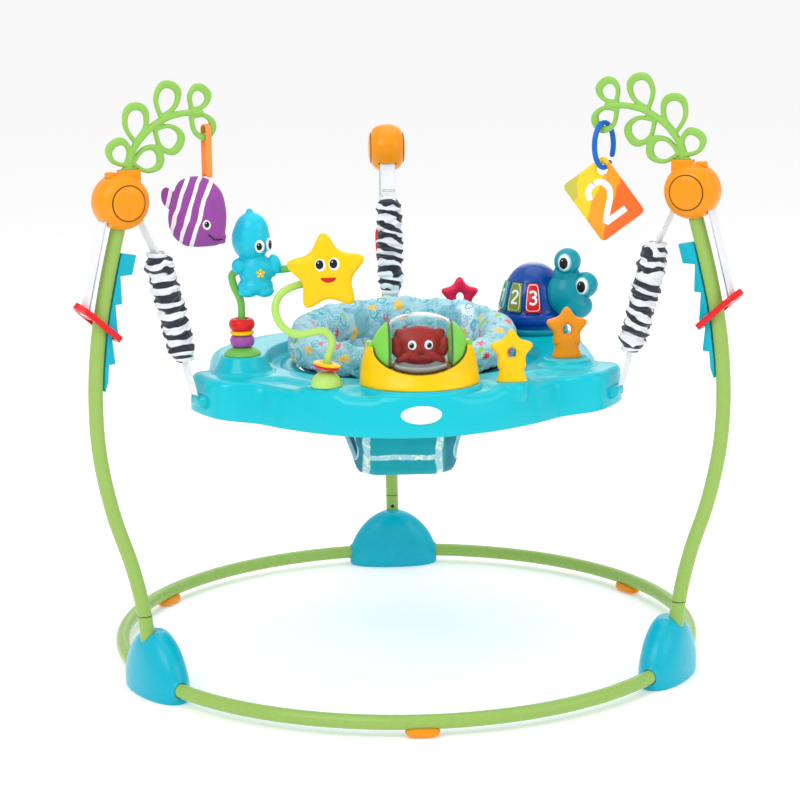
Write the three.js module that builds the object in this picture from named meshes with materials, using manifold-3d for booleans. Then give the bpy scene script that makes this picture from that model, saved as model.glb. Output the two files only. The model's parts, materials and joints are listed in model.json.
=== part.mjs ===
// Baby activity jumper: a ring base on three feet, three bowed posts, and a toy tray with a fabric
// seat that hangs from the posts on sprung straps.
// Millimetres, +Z up, floor at z = 0. The front of the tray faces -Y.

import * as THREE from "three";
import { mergeVertices } from "three/addons/utils/BufferGeometryUtils.js";
import Module from "manifold-3d";

const wasm = await Module();
wasm.setup();

// ---------------------------------------------------------------- driving dimensions

const GAP = 0.35; // clearance between pieces that touch
const RING_R = 440; // base ring, to the tube's centreline
const TUBE_R = 10.5; // 21 mm steel tube for ring and posts
const RING_Z = 21; // height of the ring tube's centreline
const STATIONS = { left: 210, right: 330, back: 90 }; // where the posts stand, in degrees

const FOOT = { halfLength: 76, halfDepth: 34, height: 93, radius: 434 };
const TUBE_SETBACK = 5.5; // degrees between a foot's middle and the end of a ring tube
const POST_LOW_Z = 46; // lower end of a post, inside its foot

const HUB = { r: 464, z: 722, radius: 40, halfWidth: 30, round: 20 };
const WEB = { width: 25, thick: 1.8 }; // suspension webbing
const SLEEVE = { topR: 411, topZ: 645, lowR: 372, lowZ: 487, radius: 19, wall: 2.5 };
const HOOK = { r: 359, z: 434 }; // where the webbing meets the tray

const TRAY = {
  deckZ: 458, // flat deck under the toys
  moatZ: 440, // lower ledge round the seat opening
  lowZ: 395, // bottom edge of the skirt
  wall: 4,
  radius: 300,
  lobe: 47, // how far each lobe reaches beyond the round tray
  lobeHalfAngle: 11.5,
  lobeLift: 8, // how far the skirt's edge rises under a lobe
  bulge: 27, // at the front, under the roller
  bulgeHalfAngle: 31,
  rearBulge: 13, // beside the turtle, and opposite
  rearBulgeHalfAngle: 20,
};
const SEAT = { y: -10, opening: 178, collarRadius: 174, collarInner: 124 };
const POUCH = { lowZ: 281, topZ: 444, wall: 4, halfSize: 85, topRadius: 155 };
const ROLLER = { x: 8, y: -262, z: 516, radius: 46.5, window: 47, halfLength: 69 };
const WIRE_R = 5.5; // tube that carries the beads

// ---------------------------------------------------------------- materials

const paint = (color, roughness, metalness = 0) =>
  new THREE.MeshStandardMaterial({ color, roughness, metalness });

const LIME_PAINT = () => paint(0x9ccf5a, 0.35, 0.2);
const TEAL = () => paint(0x00becd, 0.35);
const DEEP_TEAL = () => paint(0x00a5b5, 0.35);
const ORANGE = () => paint(0xff9b0f, 0.35);
const RED = () => paint(0xf02a2a, 0.35);
const LEAF_GREEN = () => paint(0x96cd50, 0.35);
const YELLOW = () => paint(0xffcc00, 0.35);
const PURPLE = () => paint(0xa050a5, 0.35);
const BLUE = () => paint(0x0a46aa, 0.35);
const SKY_BLUE = () => paint(0x00a8dc, 0.35);
const WEBBING = () => paint(0xf2f4f8, 0.9);
const STEEL = () => paint(0xb8bcc2, 0.3, 0.9);
const PRINT_FABRIC = () => paint(0xaad7e1, 0.9);
const CLEAR = () => paint(0xdfeff2, 0.1);

// ---------------------------------------------------------------- tools for solids

const rad = THREE.MathUtils.degToRad;
const at2 = (x, y) => new THREE.Vector2(x, y);
const at3 = (x, y, z) => new THREE.Vector3(x, y, z);

function toSolid(geometry) {
  const bare = geometry.clone();
  bare.deleteAttribute("normal");
  bare.deleteAttribute("uv");
  const merged = mergeVertices(bare, 1e-4);
  const vertProperties = new Float32Array(merged.attributes.position.array);
  const triVerts = new Uint32Array(merged.index.array);
  return new wasm.Manifold(new wasm.Mesh({ numProp: 3, vertProperties, triVerts }));
}

function toGeometry(solid) {
  const mesh = solid.getMesh();
  const geometry = new THREE.BufferGeometry();
  geometry.setAttribute("position", new THREE.BufferAttribute(mesh.vertProperties, 3));
  geometry.setIndex(new THREE.BufferAttribute(mesh.triVerts, 1));
  return geometry;
}

function join(...geometries) {
  let solid = toSolid(geometries[0]);
  for (const geometry of geometries.slice(1)) solid = solid.add(toSolid(geometry));
  return toGeometry(solid);
}

function cut(geometry, ...cutters) {
  let solid = toSolid(geometry);
  for (const cutter of cutters) solid = solid.subtract(toSolid(cutter));
  return toGeometry(solid);
}

function keepInside(geometry, limit) {
  return toGeometry(toSolid(geometry).intersect(toSolid(limit)));
}

function piece(name, geometry, material) {
  const mesh = new THREE.Mesh(geometry, material);
  mesh.name = name;
  return mesh;
}

// A round tube along a curve, closed at both ends.
function tubeAlong(curve, radius, steps, sides) {
  const section = new THREE.Shape();
  section.absarc(0, 0, radius, 0, 2 * Math.PI);
  return new THREE.ExtrudeGeometry(section, { steps, extrudePath: curve, curveSegments: sides });
}

// A solid of revolution about +Z from [radius, height] pairs that start and end on the axis.
function turned(profile, sides) {
  const points = profile.map(([radius, height]) => at2(radius, height));
  return new THREE.LatheGeometry(points, sides).rotateX(Math.PI / 2);
}

// A ring about +Z from a closed loop of [radius, height] pairs, listed anticlockwise.
function turnedRing(loop, sides) {
  return turned([...loop, loop[0]], sides);
}

// A plate whose outline lies in the local X-Z plane, of the given thickness along Y, centred on y.
function plate(shape, thickness, y = 0, curveSegments = 6) {
  const geometry = new THREE.ExtrudeGeometry(shape, {
    depth: thickness,
    bevelEnabled: false,
    curveSegments,
  });
  return geometry.rotateX(Math.PI / 2).translate(0, y + thickness / 2, 0);
}

function block(width, depth, height, x, y, z) {
  return new THREE.BoxGeometry(width, depth, height).translate(x, y, z);
}

function ball(rx, ry, rz, x, y, z, around = 16, down = 10) {
  const sphere = new THREE.SphereGeometry(1, around, down).rotateX(Math.PI / 2);
  return sphere.scale(rx, ry, rz).translate(x, y, z);
}

// A strip of even thickness along points in the X-Z plane, as a closed outline.
function stripShape(points, thickness) {
  const left = [];
  const right = [];
  points.forEach((point, i) => {
    const before = points[Math.max(i - 1, 0)];
    const after = points[Math.min(i + 1, points.length - 1)];
    const side = after.clone().sub(before).normalize().rotateAround(at2(0, 0), Math.PI / 2);
    left.push(point.clone().addScaledVector(side, thickness / 2));
    right.unshift(point.clone().addScaledVector(side, -thickness / 2));
  });
  return new THREE.Shape([...left, ...right]);
}

// A closed surface through rings of points that all have the same count; the ends are capped,
// or the last ring joins the first when the surface is a loop.
function loft(rings, looped) {
  const count = rings[0].length;
  const positions = rings.flat().flatMap((point) => [point.x, point.y, point.z]);
  const faces = [];
  const spans = looped ? rings.length : rings.length - 1;
  for (let i = 0; i < spans; i += 1) {
    const low = i * count;
    const high = ((i + 1) % rings.length) * count;
    for (let j = 0; j < count; j += 1) {
      const next = (j + 1) % count;
      faces.push(low + j, low + next, high + next, low + j, high + next, high + j);
    }
  }
  const last = (rings.length - 1) * count;
  for (let j = 1; !looped && j < count - 1; j += 1) {
    faces.push(0, j + 1, j);
    faces.push(last, last + j, last + j + 1);
  }
  const geometry = new THREE.BufferGeometry();
  geometry.setAttribute("position", new THREE.Float32BufferAttribute(positions, 3));
  geometry.setIndex(faces);
  return geometry;
}

// ---------------------------------------------------------------- base ring and feet

class RingArc extends THREE.Curve {
  constructor(from, to) {
    super();
    this.from = from;
    this.to = to;
  }

  getPoint(t, target = new THREE.Vector3()) {
    const angle = rad(THREE.MathUtils.lerp(this.from, this.to, t));
    return target.set(RING_R * Math.cos(angle), RING_R * Math.sin(angle), RING_Z);
  }
}

function baseTube(middle, extra = 0) {
  const half = 60 - TUBE_SETBACK;
  return tubeAlong(new RingArc(middle - half, middle + half), TUBE_R + extra, 14, 5);
}

// The post rises from the foot, bows outwards and leans back in to the hub.
const POST_CURVE = new THREE.CatmullRomCurve3(
  [
    [445, POST_LOW_Z],
    [450, 114],
    [466, 190],
    [494, 278],
    [511, 365],
    [514, 445],
    [507, 525],
    [491, 605],
    [466, 696],
  ].map(([r, z]) => at3(r, 0, z)),
);

function postTube(extra = 0) {
  return tubeAlong(POST_CURVE, TUBE_R + extra, 16, 5);
}

function postRadiusAt(z) {
  const points = POST_CURVE.getPoints(120);
  const above = points.findIndex((point) => point.z >= z);
  const low = points[above - 1];
  const high = points[above];
  return THREE.MathUtils.lerp(low.x, high.x, (z - low.z) / (high.z - low.z));
}

// Feet are bell-shaped: tall in the middle, where the post stands, and spread along the ring.
// Each level gives its height and its share of the foot's half length and half depth.
const FOOT_LEVELS = [
  [0, 1, 1],
  [0.28, 0.98, 1],
  [0.52, 0.87, 0.93],
  [0.75, 0.67, 0.8],
  [0.92, 0.42, 0.6],
  [1, 0.2, 0.42],
];

function foot(angle) {
  const sides = 18;
  const levels = FOOT_LEVELS.map(([up, along, across]) => {
    const points = [];
    for (let i = 0; i < sides; i += 1) {
      const turn = (2 * Math.PI * i) / sides;
      const x = FOOT.halfDepth * across * Math.cos(turn);
      points.push(at3(x, FOOT.halfLength * along * Math.sin(turn), FOOT.height * up));
    }
    return points;
  });
  const bell = loft(levels, false).translate(FOOT.radius, 0, 0).rotateZ(rad(angle));
  const ends = [angle - 60, angle + 60].map((middle) => baseTube(middle, GAP));
  return cut(bell, ...ends, postTube(GAP).rotateZ(rad(angle)));
}

// ---------------------------------------------------------------- post fittings

// Height rack: a toothed strip on the inner face of the post, with four downward ledges.
const LEDGES = [619, 579, 538, 495];
const RACK = { topZ: 650, lowZ: 457, topTooth: 24, tooth: 16, valley: 6, width: 14 };

function rack() {
  const face = (z, depth) => at2(postRadiusAt(z) - TUBE_R - GAP - depth, z);
  const outline = [face(RACK.topZ, 2), face(RACK.topZ - 4, RACK.topTooth)];
  LEDGES.forEach((ledge, i) => {
    const depth = i === 0 ? RACK.topTooth : RACK.tooth;
    outline.push(face(ledge, depth), face(ledge - 0.5, RACK.valley));
  });
  outline.push(face(RACK.lowZ + 14, RACK.valley), face(RACK.lowZ, 2));
  for (let z = RACK.lowZ; z <= RACK.topZ; z += 27) outline.push(face(z, 0));
  return plate(new THREE.Shape(outline), RACK.width);
}

// Height clip: a tapered loop round post and rack. Its inner bar sits under a ledge, its outer
// end is higher and holds the webbing.
const CLIP = { innerR: 478, innerZ: 529, slope: 42, length: 82, halfWidth: 20, slotAt: 63, thick: 5.5 };

function clip() {
  const { length, halfWidth, slotAt } = CLIP;
  const shape = new THREE.Shape();
  shape.moveTo(8, -halfWidth);
  shape.lineTo(52, -halfWidth);
  shape.quadraticCurveTo(slotAt + 8, -halfWidth + 1, length - 6, -10);
  shape.quadraticCurveTo(length, -6, length, 0);
  shape.quadraticCurveTo(length, 6, length - 6, 10);
  shape.quadraticCurveTo(slotAt + 8, halfWidth - 1, 52, halfWidth);
  shape.lineTo(8, halfWidth);
  shape.quadraticCurveTo(0, halfWidth, 0, halfWidth - 8);
  shape.lineTo(0, 8 - halfWidth);
  shape.quadraticCurveTo(0, -halfWidth, 8, -halfWidth);
  const postHole = new THREE.Path();
  postHole.moveTo(7, -14);
  postHole.lineTo(7, 14);
  postHole.lineTo(54, 14);
  postHole.lineTo(54, -14);
  postHole.closePath();
  const webSlot = new THREE.Path();
  webSlot.moveTo(slotAt - 3, -WEB.width / 2 - 1);
  webSlot.lineTo(slotAt - 3, WEB.width / 2 + 1);
  webSlot.lineTo(slotAt + 3, WEB.width / 2 + 1);
  webSlot.lineTo(slotAt + 3, -WEB.width / 2 - 1);
  webSlot.closePath();
  shape.holes.push(postHole, webSlot);
  const flat = new THREE.ExtrudeGeometry(shape, {
    depth: CLIP.thick,
    bevelEnabled: false,
    curveSegments: 4,
  });
  flat.translate(0, 0, -CLIP.thick / 2);
  return flat.rotateY(rad(-CLIP.slope)).translate(CLIP.innerR, 0, CLIP.innerZ);
}

function clipPoint(along, above) {
  const slope = rad(CLIP.slope);
  const r = CLIP.innerR + along * Math.cos(slope) - above * Math.sin(slope);
  return at2(r, CLIP.innerZ + along * Math.sin(slope) + above * Math.cos(slope));
}

// The webbing runs from the clip up into the hub, over the bar and down to the spring.
const BEND = { radius: 22, z: 716 }; // the webbing's bend over the bar in the hub

function strapPoints() {
  const points = [clipPoint(CLIP.slotAt, 3.5)];
  for (let angle = 8; angle <= 190; angle += 26) {
    const turn = rad(angle);
    points.push(at2(HUB.r + BEND.radius * Math.cos(turn), BEND.z + BEND.radius * Math.sin(turn)));
  }
  points.push(at2(SLEEVE.topR, SLEEVE.topZ + GAP));
  return points;
}

function strap() {
  return plate(stripShape(strapPoints(), WEB.thick), WEB.width);
}

function hub(withArm) {
  const { radius, halfWidth, round } = HUB;
  const profile = [[0, -halfWidth], [radius - round, -halfWidth]];
  for (const angle of [-60, -30, 0]) {
    const x = radius - round + round * Math.cos(rad(angle));
    profile.push([x, round - halfWidth + round * Math.sin(rad(angle))]);
  }
  const mirrored = profile.map(([x, y]) => [x, -y]).reverse();
  const points = [...profile, ...mirrored].map(([x, y]) => at2(x, y));
  const drum = new THREE.LatheGeometry(points, 24).translate(HUB.r, 0, HUB.z);
  const channel = plate(stripShape(strapPoints(), WEB.thick + 3), WEB.width + 2);
  const cutters = [channel, postTube(GAP)];
  if (withArm) {
    cutters.push(plate(armFootShape(GAP), ARM.thick + 2 * GAP), latchPocket());
  }
  return cut(drum, ...cutters);
}

// ---------------------------------------------------------------- springs and sleeves

class SpringCoil extends THREE.Curve {
  getPoint(t, target = new THREE.Vector3()) {
    const turns = 8;
    const radius = 11;
    const angle = 2 * Math.PI * turns * t;
    const r = THREE.MathUtils.lerp(SLEEVE.topR, SLEEVE.lowR, 0.05 + 0.9 * t);
    const z = THREE.MathUtils.lerp(SLEEVE.topZ, SLEEVE.lowZ, 0.05 + 0.9 * t);
    return target.set(r + radius * Math.cos(angle), radius * Math.sin(angle), z);
  }
}

function spring() {
  return tubeAlong(new SpringCoil(), 1.3, 56, 2);
}

// Gathered fabric tube over the spring, sewn at its lower end to the webbing that hooks the tray.
function sleeve() {
  const { topR, topZ, lowR, lowZ, radius, wall } = SLEEVE;
  const rings = [
    [0, radius * 0.72],
    [0.12, radius],
    [0.5, radius],
    [0.88, radius],
    [1, radius * 0.72],
  ];
  const ringAt = (along, size) => {
    const points = [];
    for (let i = 0; i < 12; i += 1) {
      const angle = rad(30 * i);
      const r = THREE.MathUtils.lerp(lowR, topR, along) + size * Math.cos(angle);
      points.push(at3(r, size * Math.sin(angle), THREE.MathUtils.lerp(lowZ, topZ, along)));
    }
    return points;
  };
  const outer = rings.map(([along, size]) => ringAt(along, size));
  const inner = rings.map(([along, size]) => ringAt(along, size - wall)).reverse();
  const tube = loft([...outer, ...inner], true);
  const tail = [at2(lowR, lowZ + 1), at2(HOOK.r, HOOK.z + GAP)];
  const strip = plate(stripShape(tail, WEB.thick), WEB.width);
  const hem = block(WEB.width + 1, WEB.width + 1, wall, lowR, 0, lowZ + 1);
  return join(tube, hem, strip);
}

// ---------------------------------------------------------------- leaf arms

const ARM = { thick: 8, stemWidth: 10, footLow: 742 };
const STEM = [
  [449, 763],
  [446, 784],
  [426, 811],
  [396, 831],
  [364, 839],
  [334, 838],
];
// Each leaf: where it leaves the stem, the way it points in degrees, its length and its width.
const LEAVES = [
  { r: 451, z: 768, turn: 62, length: 46, width: 38 },
  { r: 438, z: 799, turn: 94, length: 60, width: 41 },
  { r: 398, z: 832, turn: 112, length: 57, width: 41 },
  { r: 350, z: 840, turn: 125, length: 44, width: 36 },
  { r: 352, z: 836, turn: -142, length: 48, width: 37 },
  { r: 410, z: 822, turn: -146, length: 55, width: 42 },
  { r: 447, z: 773, turn: 170, length: 54, width: 40 },
];

// A teardrop from its point at the origin, along +X, drawn anticlockwise with four curves.
function teardrop(Kind, length, width) {
  const half = width / 2;
  const drop = new Kind();
  drop.moveTo(0, 0);
  drop.bezierCurveTo(length * 0.3, -width * 0.42, length * 0.4, -half, length * 0.62, -half);
  drop.bezierCurveTo(length * 0.88, -half, length, -width * 0.3, length, 0);
  drop.bezierCurveTo(length, width * 0.3, length * 0.88, half, length * 0.62, half);
  drop.bezierCurveTo(length * 0.4, half, length * 0.3, width * 0.42, 0, 0);
  return drop;
}

function leafRing({ r, z, turn, length, width }) {
  const band = 8.6;
  const shape = teardrop(THREE.Shape, length, width);
  const hole = teardrop(THREE.Path, length - 2.2 * band, width - 2 * band);
  shape.holes.push(new THREE.Path(hole.getPoints(3).map((point) => point.add(at2(1.2 * band, 0)))));
  const ring = plate(shape, ARM.thick, 0, 3);
  return ring.rotateY(rad(-turn)).translate(r, 0, z);
}

function armFootShape(extra) {
  const left = 438 - extra;
  const right = 460 + extra;
  const low = ARM.footLow - extra;
  return new THREE.Shape([at2(left, low), at2(right, low), at2(right, 768), at2(left, 768)]);
}

function leafArm() {
  const stem = new THREE.CatmullRomCurve3(STEM.map(([r, z]) => at3(r, 0, z)));
  const line = stem.getPoints(12).map((point) => at2(point.x, point.z));
  const parts = [plate(stripShape(line, ARM.stemWidth), ARM.thick + 2)];
  const tongue = armFootShape(0);
  return join(...parts, plate(tongue, ARM.thick), ...LEAVES.map(leafRing));
}

// Release tab for the arm, in a pocket on the outer side of the hub's top.
const LATCH = { r: 477, z: 759, length: 14, width: 14, height: 10, travel: 3 };

function latch() {
  return block(LATCH.length, LATCH.width, LATCH.height, LATCH.r, 0, LATCH.z);
}

function latchPocket() {
  const low = LATCH.z - LATCH.height / 2 - LATCH.travel - 1;
  const height = 40;
  return block(LATCH.length + 1, LATCH.width + 1, height, LATCH.r, 0, low + height / 2);
}

// ---------------------------------------------------------------- tray

function angleFrom(angle, centre) {
  return Math.abs(THREE.MathUtils.euclideanModulo(angle - centre + 180, 360) - 180);
}

// How far a direction lies under a strap: 1 in the middle of a lobe, 0 between lobes.
function lobeShare(angle) {
  const shares = Object.values(STATIONS).map((station) => {
    return Math.exp(-((angleFrom(angle, station) / TRAY.lobeHalfAngle) ** 4));
  });
  return Math.max(...shares);
}

// Plan outline of the tray: a round tray with a lobe under each strap and bulges between them.
function trayRadius(angle) {
  const front = Math.exp(-((angleFrom(angle, 270) / TRAY.bulgeHalfAngle) ** 2));
  const rear = [30, 150].map((middle) => {
    return Math.exp(-((angleFrom(angle, middle) / TRAY.rearBulgeHalfAngle) ** 4));
  });
  const bulges = TRAY.bulge * front + TRAY.rearBulge * Math.max(...rear);
  return TRAY.radius + TRAY.lobe * lobeShare(angle) + bulges;
}

// Distance from the ring's centre to a circle round the seat's centre.
function seatCircle(angle, radius) {
  const turn = rad(angle);
  const across = SEAT.y * Math.cos(turn);
  return SEAT.y * Math.sin(turn) + Math.sqrt(radius ** 2 - across ** 2);
}

// Where the raised discs of the tray lie: under the bead base, the orange peg and the turtle.
const BEAD_BASE = [-240, -128];
const ORANGE_PEG = [236, -130];
const TURTLE = { x: 214, y: 124, radius: 55, brim: 57 };
const BEAD_RISE = 24;
const RISE = 10;
// Each platform: its middle, the radius at its foot, how much it narrows, and its height.
const PLATFORMS = [
  [...BEAD_BASE, 42, 9, BEAD_RISE],
  [...ORANGE_PEG, 39, 5, RISE],
  [TURTLE.x, TURTLE.y, TURTLE.radius, 5, RISE],
];

function trayShell() {
  const { deckZ, moatZ, wall } = TRAY;
  const rings = [];
  for (let angle = 0; angle < 360; angle += 6) {
    const edge = trayRadius(angle);
    const lowZ = TRAY.lowZ + TRAY.lobeLift * lobeShare(angle);
    const opening = seatCircle(angle, SEAT.opening);
    const moat = seatCircle(angle, SEAT.opening + 24);
    const section = [
      [opening, moatZ],
      [moat, moatZ],
      [moat + 8, deckZ],
      [edge - 24, deckZ],
      [edge - 8, deckZ - 10],
      [edge, lowZ],
      [edge - wall, lowZ],
      [edge - 8 - wall, deckZ - 12],
      [edge - 26, deckZ - wall],
      [moat + 8 + wall / 2, deckZ - wall],
      [moat + wall, moatZ - wall],
      [opening, moatZ - wall],
    ];
    const turn = rad(angle);
    rings.push(section.map(([r, z]) => at3(r * Math.cos(turn), r * Math.sin(turn), z)));
  }
  const shell = loft(rings, true);
  const parts = [];
  for (const angle of Object.values(STATIONS)) {
    const lug = block(24, 30, 30, HOOK.r - 4, 0, HOOK.z - 15);
    parts.push(lug.rotateZ(rad(angle)));
  }
  for (const [x, y, radius, taper, height] of PLATFORMS) {
    const profile = [[0, -2], [radius, -2], [radius - taper, height], [0, height]];
    parts.push(turned(profile, 24).translate(x, y, deckZ));
  }
  return join(shell, ...parts);
}

// ---------------------------------------------------------------- seat

function seatRing() {
  const { opening } = SEAT;
  const low = TRAY.moatZ - 12;
  const flange = TRAY.moatZ + 1;
  const top = TRAY.moatZ + 5;
  const loop = [
    [opening - 14, low],
    [opening - 3, low],
    [opening - 3, flange],
    [opening + 8, flange],
    [opening + 8, top],
    [opening - 14, top],
  ];
  return turnedRing(loop, 30).translate(0, SEAT.y, 0);
}

// Padded collar of the seat, higher at the back.
function collar() {
  const rings = [];
  const middle = (SEAT.collarRadius + SEAT.collarInner) / 2;
  const half = (SEAT.collarRadius - SEAT.collarInner) / 2;
  const low = TRAY.moatZ + 6;
  for (let angle = 0; angle < 360; angle += 12) {
    const turn = rad(angle);
    const height = 60 + 15 * Math.sin(turn);
    const section = [];
    for (let i = 0; i < 8; i += 1) {
      const along = rad(45 * i - 22.5);
      const r = middle + half * Math.cos(along);
      const z = low + height / 2 + (height / 2) * Math.sin(along);
      section.push(at3(r * Math.cos(turn), r * Math.sin(turn) + SEAT.y, z));
    }
    rings.push(section.reverse());
  }
  return loft(rings, true);
}

// Plan outline of the pouch: a circle at the top that turns into a rounded square below.
function pouchRing(z, inset) {
  const { lowZ, topZ, halfSize, topRadius } = POUCH;
  const up = (z - lowZ) / (topZ - lowZ);
  const points = [];
  for (let angle = 0; angle < 360; angle += 15) {
    const turn = rad(angle);
    const square = 1 / Math.max(Math.abs(Math.cos(turn)), Math.abs(Math.sin(turn)));
    const low = halfSize * Math.min(square, 1.18) * (0.82 + 0.18 * Math.min(1, up * 3));
    const size = THREE.MathUtils.lerp(low, topRadius, up ** 2.2) - inset;
    points.push(at3(size * Math.cos(turn), size * Math.sin(turn) + SEAT.y, z));
  }
  return points;
}

function pouch() {
  const { lowZ, topZ, wall } = POUCH;
  const levels = [lowZ, lowZ + 14, 360, 415, topZ];
  const outside = loft(levels.map((z) => pouchRing(z, 0)), false);
  const inLevels = [lowZ + wall, lowZ + 16, 360, 415, topZ + 1];
  const inside = loft(inLevels.map((z) => pouchRing(z, wall)), false);
  const legs = [-1, 1].map((side) => ball(48, 46, 44, side * 92, SEAT.y - 34, 341, 12, 6));
  return cut(outside, inside, ...legs);
}

// ---------------------------------------------------------------- bead tube and its toys

const BEAD_Z = { base: 482, leaf: 494, purple: 502.8, yellow: 515.1, red: 527.4 };
const DOME_BASE = [-120, -254];
const FIGURE = { left: -240, right: -189, y: -128, z: 606 };
const STAR = { x: -117, y: -246, z: 618, thick: 24, reach: 57, valley: 32, turn: 94 };

// The bead tube: up from the left base, through the sea figure, round behind the star and down
// in an S to the front base.
const WIRE_CURVE = new THREE.CatmullRomCurve3(
  [
    [-240, -128, 485],
    [-240, -128, 510],
    [-240, -128, 535],
    [-241, -128, 562],
    [-250, -128, 584],
    [-252, -128, 600],
    [-240, -128, 606.5],
    [-214, -128, 606],
    [-189, -128, 606],
    [-160, -150, 612],
    [-132, -196, 619],
    [-116, -222, 612],
    [-128, -226, 601],
    [-156, -232, 600],
    [-182, -240, 588],
    [-190, -246, 568],
    [-182, -250, 546],
    [-162, -253, 533],
    [-140, -254, 535],
    [-121, -254, 536],
    [-111, -254, 522],
    [-117, -254, 500],
    [-121, -254, 478],
  ].map(([x, y, z]) => at3(x, y, z)),
);

function wire(extra = 0) {
  return tubeAlong(WIRE_CURVE, WIRE_R + extra, 60, 3);
}

function bead(radius, height, z, [x, y] = BEAD_BASE, lean = 0) {
  const half = height / 2;
  const hole = WIRE_R + 0.9;
  const loop = [
    [hole, -half],
    [radius - half * 0.8, -half],
    [radius, -half * 0.3],
    [radius, half * 0.3],
    [radius - half * 0.8, half],
    [hole, half],
  ];
  return turnedRing(loop, 14).rotateY(rad(lean)).translate(x, y, z);
}

function leafBase() {
  const height = BEAD_Z.leaf - BEAD_Z.base - GAP;
  const profile = [[0, 0], [27, 0], [24, 6], [13, height], [0, height]];
  const disc = turned(profile, 16).translate(...BEAD_BASE, BEAD_Z.base + GAP);
  return cut(disc, wire(GAP));
}

function domeBase() {
  const profile = [[0, 0], [22.5, 0], [20, 11], [12, 19], [0, 22]];
  const dome = turned(profile, 16).translate(...DOME_BASE, TRAY.deckZ + GAP);
  return cut(dome, wire(GAP));
}

function seaFigure() {
  const { left, right, y, z } = FIGURE;
  const x = (left + right) / 2 - 8;
  const head = ball(28, 25, 34, x, y, z + 48, 12, 7);
  const body = ball(28, 22, 36, x + 9, y, z - 2, 12, 7);
  const arms = new THREE.CylinderGeometry(9, 9, right - left, 10).rotateZ(Math.PI / 2);
  arms.translate((left + right) / 2, y, z);
  const knob = ball(5, 5, 6, x - 2, y, z + 84, 8, 6);
  const bore = new THREE.CylinderGeometry(WIRE_R + 1.8, WIRE_R + 1.8, 120, 12).rotateZ(Math.PI / 2);
  bore.translate(x, y, z);
  const relief = block(26, 80, 60, left - 13, y, z - 32);
  return cut(join(head, body, arms, knob), bore, relief);
}

// A star with rounded points: each point is one curve from valley to valley that just reaches
// the given distance.
function starShape(reach, valley, turn, points = 5) {
  const corner = (i, size) => {
    const angle = rad(turn + (180 / points) * i);
    return at2(size * Math.cos(angle), size * Math.sin(angle));
  };
  const control = 2 * reach - valley * Math.cos(Math.PI / points);
  const shape = new THREE.Shape();
  const first = corner(-1, valley);
  shape.moveTo(first.x, first.y);
  for (let i = 0; i < points; i += 1) {
    const tip = corner(2 * i, control);
    const low = corner(2 * i + 1, valley);
    shape.quadraticCurveTo(tip.x, tip.y, low.x, low.y);
  }
  return shape;
}

function starFigure() {
  const { x, y, z, thick, reach, valley, turn } = STAR;
  const body = plate(starShape(reach, valley, turn), thick, 0, 5).translate(x, y, z);
  const boss = new THREE.CylinderGeometry(15, 15, 22, 12).translate(x - 6, y + 20, z - 3);
  return cut(join(body, boss), wire(GAP));
}

// ---------------------------------------------------------------- crab roller

// The roller is an egg-shaped barrel: its radius at a distance along it from the middle.
function barrelRadius(along, extra = 0) {
  const { radius, halfLength } = ROLLER;
  return (radius + extra) * Math.sqrt(1 - (along / (halfLength + extra)) ** 2);
}

// Points [radius, along] on the barrel between two places along it.
function barrelArc(from, to, extra = 0, steps = 6) {
  const points = [];
  for (let i = 0; i <= steps; i += 1) {
    const along = THREE.MathUtils.lerp(from, to, i / steps);
    points.push([barrelRadius(along, extra), along]);
  }
  return points;
}

// Cradle with a crescent front, on an oval footprint: [half width, half depth] of the oval.
const CRADLE = { oval: [90, 70], back: 20, halfDepth: 50, horn: 514, lip: 479, inner: 73 };

function rollerHousing() {
  const { x, y, z, halfLength } = ROLLER;
  const low = TRAY.deckZ + GAP;
  const { horn, inner } = CRADLE;
  const shape = new THREE.Shape();
  shape.moveTo(-89, low);
  shape.lineTo(89, low);
  shape.quadraticCurveTo(88, 492, 81, horn);
  shape.lineTo(inner, horn);
  shape.absellipse(0, horn, inner, horn - CRADLE.lip, 0, Math.PI, true);
  shape.lineTo(-81, horn);
  shape.quadraticCurveTo(-88, 492, -89, low);
  const cradle = plate(shape, 2 * CRADLE.halfDepth - 6, 0, 10).translate(x, y, 0);
  const ends = halfLength + 2 - 0.01;
  const room = turned([[0, -ends], ...barrelArc(-ends, ends, 2, 16), [0, ends]], 24);
  room.rotateY(Math.PI / 2).translate(x, y, z);
  const bore = new THREE.CylinderGeometry(6.2, 6.2, 2 * halfLength + 13, 12);
  bore.rotateZ(Math.PI / 2).translate(x, y, z);
  const swell = new THREE.CylinderGeometry(1, 1, 120, 48).rotateX(Math.PI / 2);
  swell.scale(CRADLE.oval[0], CRADLE.oval[1], 1).translate(x, y + CRADLE.back, z);
  return cut(keepInside(cradle, swell), room, bore);
}

function rollerWindow() {
  const { x, y, z, window } = ROLLER;
  const loop = [...barrelArc(-window, window), ...barrelArc(window, -window, -2.5)];
  return turnedRing(loop, 24).rotateY(Math.PI / 2).translate(x, y, z);
}

// The two end caps and the axle that joins them.
function rollerCaps() {
  const { x, y, z, window, halfLength } = ROLLER;
  const half = [
    [4, window - 4],
    [barrelRadius(window) - 7, window - 4],
    [barrelRadius(window) - 7, window + GAP],
    ...barrelArc(window + GAP, halfLength - 0.5),
    [5.5, halfLength],
    [5.5, halfLength + 5],
    [0, halfLength + 5],
  ];
  const other = half.map(([r, along]) => [r, -along]).reverse();
  return turned([...other, ...half], 18).rotateY(Math.PI / 2).translate(x, y, z);
}

function rollerCrab() {
  const { x, y, z } = ROLLER;
  const body = ball(32, 17, 23, x, y, z, 12, 8);
  const bore = new THREE.CylinderGeometry(4.6, 4.6, 90, 10).rotateZ(Math.PI / 2).translate(x, y, z);
  return cut(body, bore);
}

// ---------------------------------------------------------------- star pegs

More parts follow.
